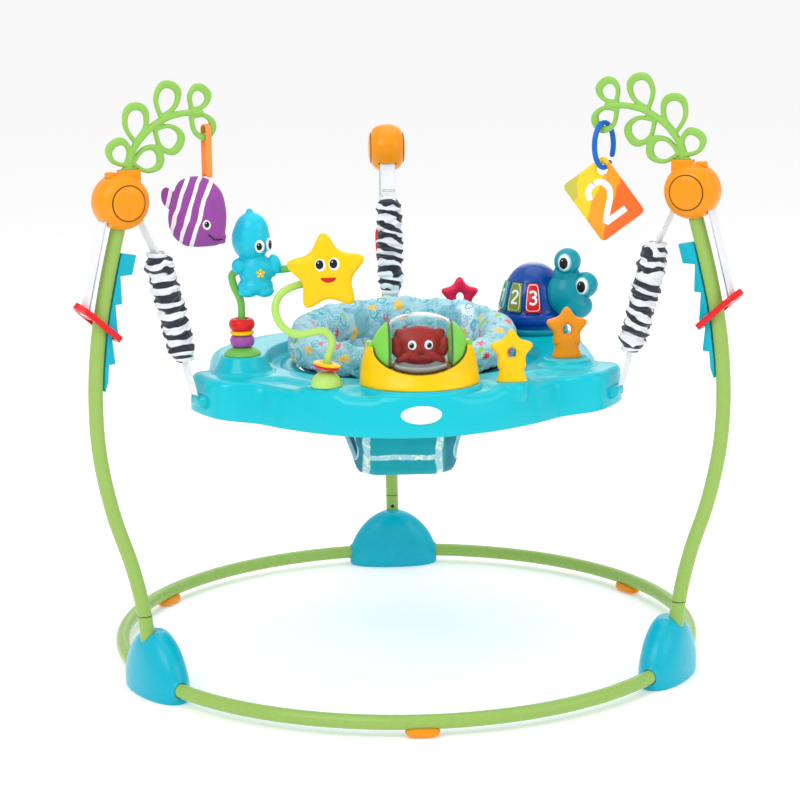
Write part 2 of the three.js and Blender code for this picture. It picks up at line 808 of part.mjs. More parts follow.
// Upright star with an oval finger hole, on a short flared trunk.
const PEG = { reach: 32, valley: 18.5, thick: 17, starZ: 43.5, holeZ: 41.5 };

function starPeg(x, y, baseZ) {
  const star = plate(starShape(PEG.reach, PEG.valley, 90), PEG.thick, 0, 5);
  star.translate(x, y, baseZ + PEG.starZ);
  const trunk = turned([[0, 0], [20.5, 0], [19, 5], [16, 12], [16, 34], [0, 34]], 14);
  trunk.scale(1, 0.6, 1).translate(x, y, baseZ + GAP);
  const hole = new THREE.CylinderGeometry(1, 1, 60, 14).scale(5.7, 1, 7.5);
  return cut(join(star, trunk), hole.translate(x, y, baseZ + PEG.holeZ));
}

// ---------------------------------------------------------------- turtle

const KEYS = [-165, -131, -97]; // the way each key faces, in degrees
const KEY = { lowWidth: 25, topWidth: 17, height: 46, thick: 6, r: 47.5, z: 522, lean: 14, travel: 2 };
// The shell's outline as [radius, height above its base], from the foot over the brim to the top.
const SHELL = [
  [0, 0],
  [TURTLE.radius - 5, 0],
  [TURTLE.radius - 5, 10],
  [TURTLE.brim, 14],
  [TURTLE.brim, 24],
  [TURTLE.radius - 2, 31],
  [TURTLE.radius - 5, 50],
  [TURTLE.radius - 13, 74],
  [TURTLE.radius - 27, 92],
  [TURTLE.radius - 42, 100],
  [0, 102],
];

function key(angle, extra, depth) {
  const low = KEY.lowWidth / 2 + extra;
  const top = KEY.topWidth / 2 + extra;
  const half = KEY.height / 2 + extra;
  const outline = new THREE.Shape([at2(-low, -half), at2(low, -half), at2(top, half), at2(-top, half)]);
  const panel = plate(outline, depth, 0).translate(0, depth / 2 - KEY.thick / 2, 0);
  panel.rotateX(rad(-KEY.lean)).translate(0, -KEY.r, KEY.z);
  return panel.rotateZ(rad(angle + 90)).translate(TURTLE.x, TURTLE.y, 0);
}

function turtleShell() {
  const dome = turned(SHELL, 24).translate(TURTLE.x, TURTLE.y, TRAY.deckZ + RISE + GAP);
  const pockets = KEYS.map((angle) => key(angle, 0.5, KEY.thick + KEY.travel + 1.5));
  return cut(dome, ...pockets);
}

// The head leans against the shell's front, with two eyes that bulge from its top.
function turtleHead() {
  const { x, y } = TURTLE;
  const skull = ball(32, 29, 34, x + 50, y - 38, 527, 14, 8);
  const cheek = ball(22, 20, 20, x + 62, y - 44, 508, 10, 6);
  const eyes = [
    ball(18.5, 18, 18.5, x + 50, y - 48, 577, 12, 8),
    ball(18.5, 18, 18.5, x + 75, y - 50, 541, 12, 8),
  ];
  const neck = ball(18, 18, 20, x + 48, y - 40, 556, 8, 6);
  const room = SHELL.map(([r, up]) => [r === 0 ? 0 : r + 1, up]);
  const shell = turned(room, 24).translate(x, y, TRAY.deckZ + RISE + GAP);
  return cut(join(skull, cheek, neck, ...eyes), shell);
}

// ---------------------------------------------------------------- toys on the arms

const LOOP_R = 328; // the arms' end leaf, where the toys hang

function hangPoint(angle) {
  return at2(LOOP_R * Math.cos(rad(angle)), LOOP_R * Math.sin(rad(angle)));
}

// Webbing loop through the end leaf, drawn in the arm's own frame.
function fishStrap() {
  const outline = (Kind, half, low, high) => {
    const loop = new Kind();
    loop.moveTo(half, low);
    loop.lineTo(half, high - half);
    loop.absarc(0, high - half, half, 0, Math.PI);
    loop.lineTo(-half, low);
    loop.closePath();
    return loop;
  };
  const shape = outline(THREE.Shape, 8.5, 742, 822);
  shape.holes.push(outline(THREE.Path, 7, 762, 820.5));
  return plate(shape, 9, 0, 5).rotateZ(Math.PI / 2).translate(LOOP_R - 2, 0, 0);
}

function fish() {
  const { x, y } = hangPoint(STATIONS.left);
  const body = ball(37, 15, 51, x - 6, y, 698, 14, 8);
  const tail = ball(13, 5, 20, x - 46, y, 710, 10, 6);
  const slot = block(20, 24, 20, x, y, 750);
  return cut(join(body, tail), slot);
}

class LinkCurve extends THREE.Curve {
  getPoint(t, target = new THREE.Vector3()) {
    const angle = rad(THREE.MathUtils.lerp(-28, 306, t));
    return target.set(20 * Math.cos(angle), 0, 32 * Math.sin(angle));
  }
}

function toyLink() {
  const { x, y } = hangPoint(STATIONS.right);
  const ring = tubeAlong(new LinkCurve(), 3.8, 24, 4);
  return ring.rotateZ(rad(40)).translate(x + 1, y, 782);
}

function numberCard() {
  const { x, y } = hangPoint(STATIONS.right);
  const width = 77;
  const height = 100;
  const round = 8;
  const shape = new THREE.Shape();
  shape.moveTo(round - width / 2, -height / 2);
  shape.lineTo(width / 2 - round, -height / 2);
  shape.quadraticCurveTo(width / 2, -height / 2, width / 2, round - height / 2);
  shape.lineTo(width / 2, height / 2 - round);
  shape.quadraticCurveTo(width / 2, height / 2, width / 2 - round, height / 2);
  shape.lineTo(round - width / 2, height / 2);
  shape.quadraticCurveTo(-width / 2, height / 2, -width / 2, height / 2 - round);
  shape.lineTo(-width / 2, round - height / 2);
  shape.quadraticCurveTo(-width / 2, -height / 2, round - width / 2, -height / 2);
  const hole = new THREE.Path();
  hole.absarc(width / 2 - 15, height / 2 - 15, 10, 0, 2 * Math.PI, true);
  shape.holes.push(hole);
  const card = plate(shape, 4, 0, 4).rotateY(rad(-37));
  return card.rotateZ(rad(-20)).translate(x + 1, y, 705);
}

// ---------------------------------------------------------------- assembly

const assembly = new THREE.Group();

function addBase() {
  const middles = { front: 270, right: 30, left: 150 };
  for (const [name, middle] of Object.entries(middles)) {
    assembly.add(piece(`base_tube_${name}`, baseTube(middle), LIME_PAINT()));
  }
  for (const [name, angle] of Object.entries(STATIONS)) {
    assembly.add(piece(`foot_${name}`, foot(angle), DEEP_TEAL()));
  }
}

function addStation(name, angle) {
  const station = new THREE.Group();
  station.rotation.z = rad(angle);
  const withArm = name !== "back";
  station.add(piece(`post_${name}`, postTube(), LIME_PAINT()));
  station.add(piece(`height_rack_${name}`, rack(), DEEP_TEAL()));
  station.add(piece(`height_clip_${name}`, clip(), RED()));
  station.add(piece(`hub_${name}`, hub(withArm), ORANGE()));
  station.add(piece(`suspension_strap_${name}`, strap(), WEBBING()));
  station.add(piece(`bounce_spring_${name}`, spring(), STEEL()));
  station.add(piece(`spring_sleeve_${name}`, sleeve(), WEBBING()));
  if (withArm) {
    station.add(piece(`leaf_arm_${name}`, leafArm(), LEAF_GREEN()));
    station.add(piece(`arm_latch_${name}`, latch(), ORANGE()));
  }
  if (name === "left") station.add(piece("fish_strap", fishStrap(), ORANGE()));
  assembly.add(station);
}

function addTray() {
  assembly.add(piece("tray_shell", trayShell(), TEAL()));
  assembly.add(piece("seat_ring", seatRing(), DEEP_TEAL()));
  assembly.add(piece("seat_collar", collar(), PRINT_FABRIC()));
  assembly.add(piece("seat_pouch", pouch(), DEEP_TEAL()));
}

function addBeads() {
  assembly.add(piece("bead_tube", wire(), LEAF_GREEN()));
  assembly.add(piece("bead_base_left", leafBase(), LEAF_GREEN()));
  assembly.add(piece("bead_base_front", domeBase(), LEAF_GREEN()));
  assembly.add(piece("bead_purple", bead(18, 17, BEAD_Z.purple), PURPLE()));
  assembly.add(piece("bead_yellow", bead(18, 7, BEAD_Z.yellow), YELLOW()));
  assembly.add(piece("bead_red", bead(19, 17, BEAD_Z.red), RED()));
  assembly.add(piece("bead_disc", bead(20, 9, 487, [-119, -254], 10), YELLOW()));
  assembly.add(piece("sea_figure", seaFigure(), SKY_BLUE()));
  assembly.add(piece("star_figure", starFigure(), YELLOW()));
}

function addRoller() {
  assembly.add(piece("roller_housing", rollerHousing(), YELLOW()));
  assembly.add(piece("roller_window", rollerWindow(), CLEAR()));
  assembly.add(piece("roller_caps", rollerCaps(), LEAF_GREEN()));
  assembly.add(piece("roller_crab", rollerCrab(), RED()));
}

function addPegs() {
  assembly.add(piece("star_peg_yellow", starPeg(143, -250, TRAY.deckZ), YELLOW()));
  const [x, y] = ORANGE_PEG;
  assembly.add(piece("star_peg_orange", starPeg(x, y, TRAY.deckZ + RISE), ORANGE()));
  assembly.add(piece("star_peg_red", starPeg(106, 240, TRAY.deckZ), RED()));
}

function addTurtle() {
  assembly.add(piece("turtle_shell", turtleShell(), BLUE()));
  assembly.add(piece("turtle_head", turtleHead(), DEEP_TEAL()));
  KEYS.forEach((angle, i) => {
    assembly.add(piece(`turtle_key_${i + 1}`, key(angle, 0, KEY.thick), RED()));
  });
}

function addHangingToys() {
  assembly.add(piece("fish_toy", fish(), PURPLE()));
  assembly.add(piece("toy_link", toyLink(), BLUE()));
  assembly.add(piece("number_card", numberCard(), YELLOW()));
}

addBase();
for (const [name, angle] of Object.entries(STATIONS)) addStation(name, angle);
addTray();
addBeads();
addRoller();
addPegs();
addTurtle();
addHangingToys();

// The origin is the middle of the whole object's footprint, on the floor.
const box = new THREE.Box3().setFromObject(assembly, true);
const middle = box.getCenter(new THREE.Vector3());
assembly.position.set(-middle.x, -middle.y, 0);

export default assembly;
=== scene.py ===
import json
import math

import bmesh
import bpy
from mathutils import Matrix, Vector, noise


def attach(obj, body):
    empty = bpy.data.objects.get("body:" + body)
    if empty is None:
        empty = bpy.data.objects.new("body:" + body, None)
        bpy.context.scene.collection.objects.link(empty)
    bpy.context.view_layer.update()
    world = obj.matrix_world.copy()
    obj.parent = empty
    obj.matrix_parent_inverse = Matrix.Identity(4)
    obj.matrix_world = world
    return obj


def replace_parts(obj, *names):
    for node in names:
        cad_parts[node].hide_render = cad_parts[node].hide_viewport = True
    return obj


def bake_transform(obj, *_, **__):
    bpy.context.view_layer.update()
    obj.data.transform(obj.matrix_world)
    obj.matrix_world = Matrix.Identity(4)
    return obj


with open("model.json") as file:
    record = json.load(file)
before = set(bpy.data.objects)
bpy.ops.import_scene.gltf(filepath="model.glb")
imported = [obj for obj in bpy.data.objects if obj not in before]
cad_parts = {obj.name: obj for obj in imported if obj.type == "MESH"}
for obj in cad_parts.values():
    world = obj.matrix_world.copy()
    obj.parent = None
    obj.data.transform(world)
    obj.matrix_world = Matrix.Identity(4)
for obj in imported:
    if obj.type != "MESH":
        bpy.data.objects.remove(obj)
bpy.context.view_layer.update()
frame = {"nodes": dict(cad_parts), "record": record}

FOOT_RADIUS = 434
BACK_FACE = next(m for m in frame["record"]["mounts"] if m["name"] == "foot_back_face")
SHIFT = Vector((0, BACK_FACE["pos_m"][1] - FOOT_RADIUS / 1000, 0))
STATIONS = {"left": 210, "right": 330, "back": 90}


# ---------------------------------------------------------------- small tools

def to_row(point):
    return Vector(point) / 1000 + SHIFT


def spin(point, degrees):
    """A point (r, sideways, z) of a station, turned to that station's place round the ring."""
    turn = math.radians(degrees)
    r, side, z = point
    x = r * math.cos(turn) - side * math.sin(turn)
    return Vector((x, r * math.sin(turn) + side * math.cos(turn), z))


def mix(a, b, share):
    return a + (b - a) * share


def ease(share):
    share = min(max(share, 0), 1)
    return share * share * (3 - 2 * share)


def power(value, exponent):
    """value's size raised to exponent, with its sign kept."""
    return math.copysign(abs(value) ** exponent, value)


def circle(count):
    """The cosine and sine of count even steps round a circle."""
    turns = [2 * math.pi * k / count for k in range(count)]
    return [(math.cos(turn), math.sin(turn)) for turn in turns]


def ripple(turn, wide, z):
    """Smooth noise round a ring: wide sets how fast it changes."""
    return noise.noise(Vector((math.cos(turn) * wide, math.sin(turn) * wide, z)))


def round_over(r, z, radius, degrees, count):
    """Points of an arc that leaves (r, z) level and turns down, degrees at a time."""
    turns = [math.radians(degrees * k) for k in range(1, count + 1)]
    return [(r + radius * math.sin(a), z - radius * (1 - math.cos(a))) for a in turns]


def bisect(low, high, is_below):
    """Closes in on the value between low and high where is_below stops being true."""
    for _ in range(24):
        middle = (low + high) / 2
        if is_below(middle):
            low = middle
        else:
            high = middle
    return middle


def add_object(name, data):
    obj = bpy.data.objects.new(name, data)
    bpy.context.scene.collection.objects.link(obj)
    return obj


def shade_smooth(obj):
    for polygon in obj.data.polygons:
        polygon.use_smooth = True


def smooth_path(points, steps, closed=False):
    """Points along a centripetal Catmull-Rom curve, steps to each span."""
    pts = [Vector(p) for p in points]
    count = len(pts)
    spans = count if closed else count - 1
    path = []
    for i in range(spans):
        p1, p2 = pts[i], pts[(i + 1) % count]
        p0 = pts[i - 1] if closed or i > 0 else p1 * 2 - p2
        p3 = pts[(i + 2) % count] if closed or i + 2 < count else p2 * 2 - p1
        t1 = (p1 - p0).length ** 0.5
        t2 = t1 + (p2 - p1).length ** 0.5
        t3 = t2 + (p3 - p2).length ** 0.5
        for k in range(steps):
            t = mix(t1, t2, k / steps)
            a1 = p0.lerp(p1, t / t1)
            a2 = p1.lerp(p2, (t - t1) / (t2 - t1))
            a3 = p2.lerp(p3, (t - t2) / (t3 - t2))
            b1 = a1.lerp(a2, t / t2)
            b2 = a2.lerp(a3, (t - t1) / (t3 - t1))
            path.append(b1.lerp(b2, (t - t1) / (t2 - t1)))
    if not closed:
        path.append(pts[-1].copy())
    return path


def make(name, verts, faces, materials, slots=None, uvs=None, flat=False):
    """A mesh object from points in millimetres round the ring's centre."""
    mesh = bpy.data.meshes.new(name)
    mesh.from_pydata([to_row(v) for v in verts], [], faces)
    for material in materials if isinstance(materials, (list, tuple)) else [materials]:
        mesh.materials.append(material)
    if slots:
        mesh.polygons.foreach_set("material_index", slots)
    if not flat:
        mesh.polygons.foreach_set("use_smooth", [True] * len(mesh.polygons))
    if uvs:
        layer = mesh.uv_layers.new(name="UVMap")
        for polygon in mesh.polygons:
            for loop, uv in zip(polygon.loop_indices, uvs[polygon.index]):
                layer.data[loop].uv = uv
    work = bmesh.new()
    work.from_mesh(mesh)
    bmesh.ops.recalc_face_normals(work, faces=work.faces)
    work.to_mesh(mesh)
    work.free()
    return add_object(name, mesh)


def grid(name, rings, materials, looped=False, caps=True, uv=None, slots=None):
    """A surface through closed rings of points. uv is the sheet's width and length in metres, and
    slots(along, around) picks a face's material."""
    count = len(rings[0])
    verts = [p for ring in rings for p in ring]
    faces, uvs, indices = [], [], []
    spans = len(rings) if looped else len(rings) - 1
    for i in range(spans):
        low, high = i * count, ((i + 1) % len(rings)) * count
        for j in range(count):
            k = (j + 1) % count
            faces.append((low + j, low + k, high + k, high + j))
            indices.append(slots(i / spans, j / count) if slots else 0)
            if uv:
                u0, u1 = uv[0] * j / count, uv[0] * (j + 1) / count
                v0, v1 = uv[1] * i / spans, uv[1] * (i + 1) / spans
                uvs.append(((u0, v0), (u1, v0), (u1, v1), (u0, v1)))
    if caps and not looped:
        for start in (0, (len(rings) - 1) * count):
            faces.append(tuple(range(start, start + count)))
            indices.append(indices[0] if start == 0 else indices[-1])
            if uv:
                uvs.append(((0, 0),) * count)
    return make(name, verts, faces, materials, indices if slots else None, uvs or None)


def sweep(name, path, half_width, half_thick, materials, across=None, closed=False, sides=24,
          square=2.0, rounded_ends=False, uv=None, slots=None):
    """A bar along path. Its section is a superellipse: square 2 is an ellipse, more is boxier.
    across fixes the direction of the width; without it the section doesn't twist."""
    path = [Vector(p) for p in path]
    last = len(path) - 1
    side = None
    rings = []
    for i, point in enumerate(path):
        before = path[i - 1] if closed or i > 0 else path[0]
        after = path[(i + 1) % len(path)] if closed or i < last else path[last]
        along = (after - before).normalized()
        if across is not None:
            side = Vector(across)
        elif side is None:
            side = along.orthogonal()
        side = (side - along * side.dot(along)).normalized()
        up = along.cross(side)
        share = i / last
        wide = half_width(share) if callable(half_width) else half_width
        thick = half_thick(share) if callable(half_thick) else half_thick
        rings.append([point + side * power(c, 2 / square) * wide + up * power(s, 2 / square) * thick
                      for c, s in circle(sides)])
    if rounded_ends and not closed:
        rings = round_ends(rings, path)
    return grid(name, rings, materials, looped=closed, uv=uv, slots=slots)


def round_ends(rings, path):
    """Adds shrinking rings beyond both ends of a bar, so that it ends in a dome."""
    caps = []
    for ring, end, inner in ((rings[0], path[0], path[1]), (rings[-1], path[-1], path[-2])):
        out = (end - inner).normalized()
        radius = min((p - end).length for p in ring)
        domes = []
        for step in range(1, 6):
            turn = math.radians(18 * step)
            size = max(math.cos(turn), 0.02)
            domes.append([end + (p - end) * size + out * radius * math.sin(turn) for p in ring])
        caps.append(domes)
    return caps[0][::-1] + rings + caps[1]


def lathe(name, profile, material, centre=(0, 0, 0), axis=(0, 0, 1), sides=64, steps=0):
    """A solid of revolution about axis through centre, from [radius, height] pairs."""
    if steps:
        profile = [(p.x, p.y) for p in smooth_path([(r, h, 0) for r, h in profile], steps)]
    turn_to = Vector((0, 0, 1)).rotation_difference(Vector(axis).normalized())
    rings = [[turn_to @ Vector((radius * c, radius * s, height)) + Vector(centre) for c, s in circle(sides)]
             for radius, height in profile]
    return grid(name, rings, material)


def join(name, objects):
    """Joins objects into the first, under a new name."""
    bpy.ops.object.select_all(action="DESELECT")
    for obj in objects:
        obj.select_set(True)
    bpy.context.view_layer.objects.active = objects[0]
    if len(objects) > 1:
        bpy.ops.object.join()
    objects[0].name = name
    objects[0].data.name = name
    return objects[0]


def settle(obj):
    """Applies an object's modifiers."""
    graph = bpy.context.evaluated_depsgraph_get()
    mesh = bpy.data.meshes.new_from_object(obj.evaluated_get(graph))
    obj.modifiers.clear()
    old = obj.data
    obj.data = mesh
    bpy.data.meshes.remove(old)
    return obj


def meld(name, objects, voxel, passes, material):
    """Melts overlapping shapes into one moulding with softened joints."""
    obj = join(name, objects)
    remesh = obj.modifiers.new("melt", "REMESH")
    remesh.mode = "VOXEL"
    remesh.voxel_size = voxel / 1000
    remesh.use_smooth_shade = True
    soften = obj.modifiers.new("soften", "SMOOTH")
    soften.factor = 0.5
    soften.iterations = passes
    settle(obj)
    obj.data.materials.clear()
    obj.data.materials.append(material)
    return obj


def bevelled(name, node, material, width, angle=35):
    """A copy of a flat-sided CAD node with rounded edges, which stands for that node."""
    obj = add_object(name, frame["nodes"][node].data.copy())
    work = bmesh.new()
    work.from_mesh(obj.data)
    bmesh.ops.remove_doubles(work, verts=work.verts, dist=1e-5)
    bmesh.ops.dissolve_limit(work, angle_limit=math.radians(3), verts=work.verts, edges=work.edges)
    work.to_mesh(obj.data)
    work.free()
    obj.data.materials.clear()
    obj.data.materials.append(material)
    bevel = obj.modifiers.new("edges", "BEVEL")
    bevel.width = width / 1000
    bevel.segments = 3
    bevel.limit_method = "ANGLE"
    bevel.angle_limit = math.radians(angle)
    bevel.harden_normals = True
    settle(obj)
    shade_smooth(obj)
    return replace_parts(obj, node)


def fit(obj, body, slot, *nodes):
    """Hangs a finished piece on its body, with the nodes it stands for. slot is not used."""
    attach(obj, body)
    if nodes:
        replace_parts(obj, *nodes)
    return obj


# ---------------------------------------------------------------- materials

class Nodes:
    """A material's node tree, with short calls for the nodes used here."""

    def __init__(self, name, color, roughness, coat=0, sheen=0):
        self.material = bpy.data.materials.new(name)
        self.material.use_nodes = True
        self.tree = self.material.node_tree
        self.shader = self.tree.nodes["Principled BSDF"]
        self.feed(self.shader, {"Base Color": color, "Roughness": roughness, "Coat Weight": coat,
                                "Coat Roughness": 0.08, "Specular IOR Level": 0.22, "Sheen Weight": sheen})

    def feed(self, node, inputs):
        """Gives each input a number, a colour, a vector or another node's output."""
        for key, value in inputs.items():
            if isinstance(value, bpy.types.NodeSocket):
                self.tree.links.new(value, node.inputs[key])
            else:
                node.inputs[key].default_value = (*value, 1) if isinstance(value, tuple) else value

    def add(self, kind, inputs, **settings):
        node = self.tree.nodes.new(kind)
        for key, value in settings.items():
            setattr(node, key, value)
        self.feed(node, inputs)
        return node

    def place(self, output="Object"):
        return self.add("ShaderNodeTexCoord", {}).outputs[output]

    def noise(self, vector, scale, detail=2, distortion=0):
        inputs = {"Vector": vector, "Scale": scale, "Detail": detail, "Distortion": distortion}
        return self.add("ShaderNodeTexNoise", inputs).outputs["Fac"]

    def math(self, operation, a, b=None):
        inputs = {0: a} if b is None else {0: a, 1: b}
        return self.add("ShaderNodeMath", inputs, operation=operation).outputs[0]

    def times(self, a, b):
        return self.math("MULTIPLY", a, b)

    def plus(self, a, b):
        return self.math("ADD", a, b)

    def minus(self, a, b):
        return self.math("SUBTRACT", a, b)

    def spread(self, value, low, high):
        """Maps 0..1 to low..high."""
        inputs = {"Value": value, "To Min": low, "To Max": high}
        return self.add("ShaderNodeMapRange", inputs).outputs["Result"]

    def step(self, value, edge, softness=0.02):
        """0 below edge, 1 above it, with a short ramp."""
        inputs = {"Value": value, "From Min": edge - softness, "From Max": edge + softness}
        return self.add("ShaderNodeMapRange", inputs).outputs["Result"]

    def mix(self, share, a, b):
        return self.add("ShaderNodeMix", {"Factor": share, 6: a, 7: b}, data_type="RGBA").outputs[2]

    def split(self, vector):
        return self.add("ShaderNodeSeparateXYZ", {0: vector}).outputs

    def color(self, socket):
        self.feed(self.shader, {"Base Color": socket})

    def rough(self, socket):
        self.feed(self.shader, {"Roughness": socket})

    def bump(self, height, strength, distance=0.0005):
        node = self.add("ShaderNodeBump", {"Strength": strength, "Distance": distance, "Height": height})
        self.feed(self.shader, {"Normal": node.outputs["Normal"]})


def shade(color, factor):
    return tuple(min(c * factor, 1) for c in color)


def plastic(name, color, roughness=0.27, coat=0.08):
    """Moulded plastic: a faint mottle, a fine skin and uneven gloss."""
    m = Nodes(name, color, roughness, coat=coat)
    place = m.place()
    mottle = m.noise(place, 14, 3)
    m.color(m.mix(m.spread(mottle, 0.1, 0.9), shade(color, 0.96), shade(color, 1.04)))
    m.rough(m.spread(m.noise(place, 45, 4), roughness - 0.05, roughness + 0.07))
    m.bump(m.noise(place, 900, 2), 0.05)
    return m.material


def powder_coat(name, color):
    """Powder-coated steel: orange-peel bumps under a glossy skin."""
    m = Nodes(name, color, 0.3, coat=0.12)
    place = m.place()
    m.color(m.mix(m.spread(m.noise(place, 9, 2), 0, 1), shade(color, 0.97), shade(color, 1.03)))
    m.rough(m.spread(m.noise(place, 60, 3), 0.2, 0.34))
    m.bump(m.noise(place, 420, 2), 0.04)
    return m.material


def weave_height(m, place, threads):
    """Over-and-under threads on the UV map, which is in metres."""
    u, v, _ = m.split(place)
    warp = m.math("SINE", m.times(u, threads * math.pi))
    weft = m.math("SINE", m.times(v, threads * math.pi))
    return m.times(warp, weft)


def woven(name, color):
    """Woven webbing on a UV map in metres."""
    m = Nodes(name, color, 0.85, sheen=0.25)
    place = m.place("UV")
    worn = m.noise(m.place(), 60, 4)
    m.color(m.mix(m.spread(worn, 0, 1), shade(color, 0.88), shade(color, 1.04)))
    m.rough(m.spread(worn, 0.77, 0.93))
    m.bump(weave_height(m, place, 900), 0.35, 0.0004)
    return m.material


LIME = powder_coat("lime_powder_coat", (0.29, 0.46, 0.10))
TEAL = plastic("teal_plastic", (0.0, 0.41, 0.55))
TURQUOISE = plastic("turquoise_plastic", (0.0, 0.50, 0.60), roughness=0.24, coat=0.15)
ORANGE = plastic("orange_plastic", (0.84, 0.28, 0.003))
RED = plastic("red_plastic", (0.72, 0.012, 0.015))
PINK_RED = plastic("pink_red_plastic", (0.80, 0.015, 0.07))
LEAF = plastic("leaf_plastic", (0.26, 0.52, 0.09), roughness=0.3)
DEEP_LEAF = plastic("deep_leaf_plastic", (0.16, 0.48, 0.08), roughness=0.3)
PALE_LEAF = plastic("pale_leaf_plastic", (0.42, 0.68, 0.16), roughness=0.3)
YELLOW = plastic("yellow_plastic", (0.90, 0.54, 0.0))
PURPLE = plastic("purple_plastic", (0.36, 0.08, 0.40))
DARK_BLUE = plastic("dark_blue_plastic", (0.0, 0.055, 0.33), roughness=0.2, coat=0.3)
SKY = plastic("sky_plastic", (0.01, 0.52, 0.70))
WHITE = plastic("white_plastic", (0.86, 0.87, 0.88))
BLACK = plastic("black_plastic", (0.008, 0.009, 0.012), roughness=0.18)
SEAM = plastic("seam_dark", (0.05, 0.03, 0.01), roughness=0.6, coat=0)
SMILE = plastic("smile_red", (0.55, 0.01, 0.01))
WEBBING = woven("white_webbing", (0.80, 0.82, 0.86))
ORANGE_WEB = woven("orange_webbing", (1.0, 0.30, 0.06))
STEEL = plastic("spring_steel", (0.6, 0.61, 0.63), roughness=0.3)
STRAND = plastic("bead_tube_green", (0.40, 0.66, 0.14), roughness=0.3)
KEY_GREEN = plastic("key_green", (0.02, 0.30, 0.28))
KEY_OLIVE = plastic("key_olive", (0.22, 0.30, 0.02))
GREY = plastic("window_rim_grey", (0.09, 0.10, 0.11), roughness=0.4)
PALE_GREY = plastic("roller_pale_grey", (0.55, 0.58, 0.60), roughness=0.4)
CRAB = plastic("crab_red", (0.33, 0.016, 0.012))
DRUM_GREEN = plastic("drum_green", (0.18, 0.58, 0.07), roughness=0.3)
SKY_TEAL = plastic("turtle_teal", (0.0, 0.28, 0.36))
LINK_BLUE = plastic("link_blue", (0.005, 0.13, 0.55))
RIM_BLUE = plastic("eye_rim_blue", (0.22, 0.52, 0.66))


def clear_plastic():
    m = Nodes("clear_plastic", (0.96, 0.98, 0.98), 0.05)
    m.feed(m.shader, {"Transmission Weight": 1, "IOR": 1.12})
    m.rough(m.spread(m.noise(m.place(), 40, 2), 0.03, 0.09))
    return m.material


def zebra_fabric():
    """Black and white bands round a gathered sleeve, torn and forked like a zebra's."""
    m = Nodes("zebra_fabric", (0.85, 0.86, 0.9), 0.85, sheen=0.3)
    place = m.place("UV")
    u, v, _ = m.split(place)
    wander = m.noise(place, 16, 2, 0.6)
    slant = m.plus(m.times(v, SLEEVE_BANDS), m.times(u, 1 / 0.13))
    bands = m.plus(slant, m.times(wander, 1.9))
    wave = m.math("SINE", m.times(bands, 2 * math.pi))
    dark = m.step(wave, -0.08, 0.12)
    fade = m.noise(m.place(), 80, 3)
    white = m.mix(m.spread(fade, 0, 1), (0.72, 0.74, 0.80), (0.86, 0.88, 0.92))
    black = m.mix(m.spread(fade, 0, 1), (0.012, 0.016, 0.028), (0.03, 0.035, 0.05))
    m.color(m.mix(dark, white, black))
    m.rough(m.spread(fade, 0.75, 0.95))
    m.bump(weave_height(m, place, 1400), 0.3, 0.0003)
    return m.material


def motif_cells(m, place, scale, spread=1.0):
    """Scattered cells: the distance and angle from each cell's middle, and its random numbers."""
    cell = m.add("ShaderNodeTexVoronoi", {"Vector": place, "Scale": scale, "Randomness": spread},
                 voronoi_dimensions="2D")
    away = m.add("ShaderNodeVectorMath", {0: place, 1: cell.outputs["Position"]}, operation="SUBTRACT")
    x, y, _ = m.split(away.outputs[0])
    angle = m.math("ARCTAN2", y, x)
    red, green, _ = m.split(cell.outputs["Color"])
    return cell.outputs["Distance"], angle, red, green


def lobed(m, distance, angle, lobes, radius, depth, turn):
    """1 inside a star or flower with the given lobes, 0 outside."""
    wave = m.math("COSINE", m.plus(m.times(angle, lobes), turn))
    edge = m.plus(radius, m.times(wave, depth))
    return m.step(m.minus(edge, distance), 0, 0.015)


def between(m, value, low, high):
    above = m.math("GREATER_THAN", value, low)
    return m.times(above, m.math("LESS_THAN", value, high))


PRINT_BASE = (0.36, 0.62, 0.71)
# Motifs of the print: lobes, radius, depth of the lobes, the share of cells from and to, colour.
MOTIFS = [(5, 0.2, 0.09, 0.42, 0.58, (0.75, 0.16, 0.24)), (8, 0.2, 0.05, 0.58, 0.7, (0.70, 0.05, 0.04)),
          (3, 0.26, 0.06, 0.7, 0.86, (0.95, 0.55, 0.08)), (2, 0.2, 0.13, 0.86, 2, (0.30, 0.60, 0.12))]


def print_fabric(name):
    """Pale blue cloth printed with coral rings, stars, spots, blotches and leaves."""
    m = Nodes(name, PRINT_BASE, 0.85, sheen=0.35)
    place = m.place("UV")
    cloth = m.mix(m.noise(m.place(), 20, 3), shade(PRINT_BASE, 0.9), shade(PRINT_BASE, 1.12))
    blot = m.step(m.noise(place, 11, 1, 0.4), 0.66, 0.02)
    cloth = m.mix(blot, cloth, (0.72, 0.86, 0.90))
    wash = m.step(m.noise(place, 24, 3, 0.8), 0.57, 0.03)
    cloth = m.mix(m.times(wash, 0.55), cloth, (0.07, 0.38, 0.44))
    distance, angle, pick, turn = motif_cells(m, place, 31)
    spin_by = m.times(turn, 6.28)
    ring = between(m, distance, 0.20, 0.27)
    rings = m.times(ring, m.math("LESS_THAN", pick, 0.42))
    cloth = m.mix(rings, cloth, (0.03, 0.42, 0.50))
    for lobes, radius, depth, low, high, color in MOTIFS:
        shape = lobed(m, distance, angle, lobes, radius, depth, spin_by)
        cloth = m.mix(m.times(shape, between(m, pick, low, high)), cloth, color)
    coral = motif_cells(m, place, 95, 0.6)[0]
    chain = m.times(between(m, coral, 0.22, 0.34), m.step(m.noise(place, 9, 1), 0.53, 0.03))
    cloth = m.mix(chain, cloth, (0.05, 0.46, 0.55))
    m.color(cloth)
    m.rough(m.spread(m.noise(m.place(), 50, 3), 0.78, 0.95))
    m.bump(weave_height(m, place, 1300), 0.3, 0.0003)
    return m.material


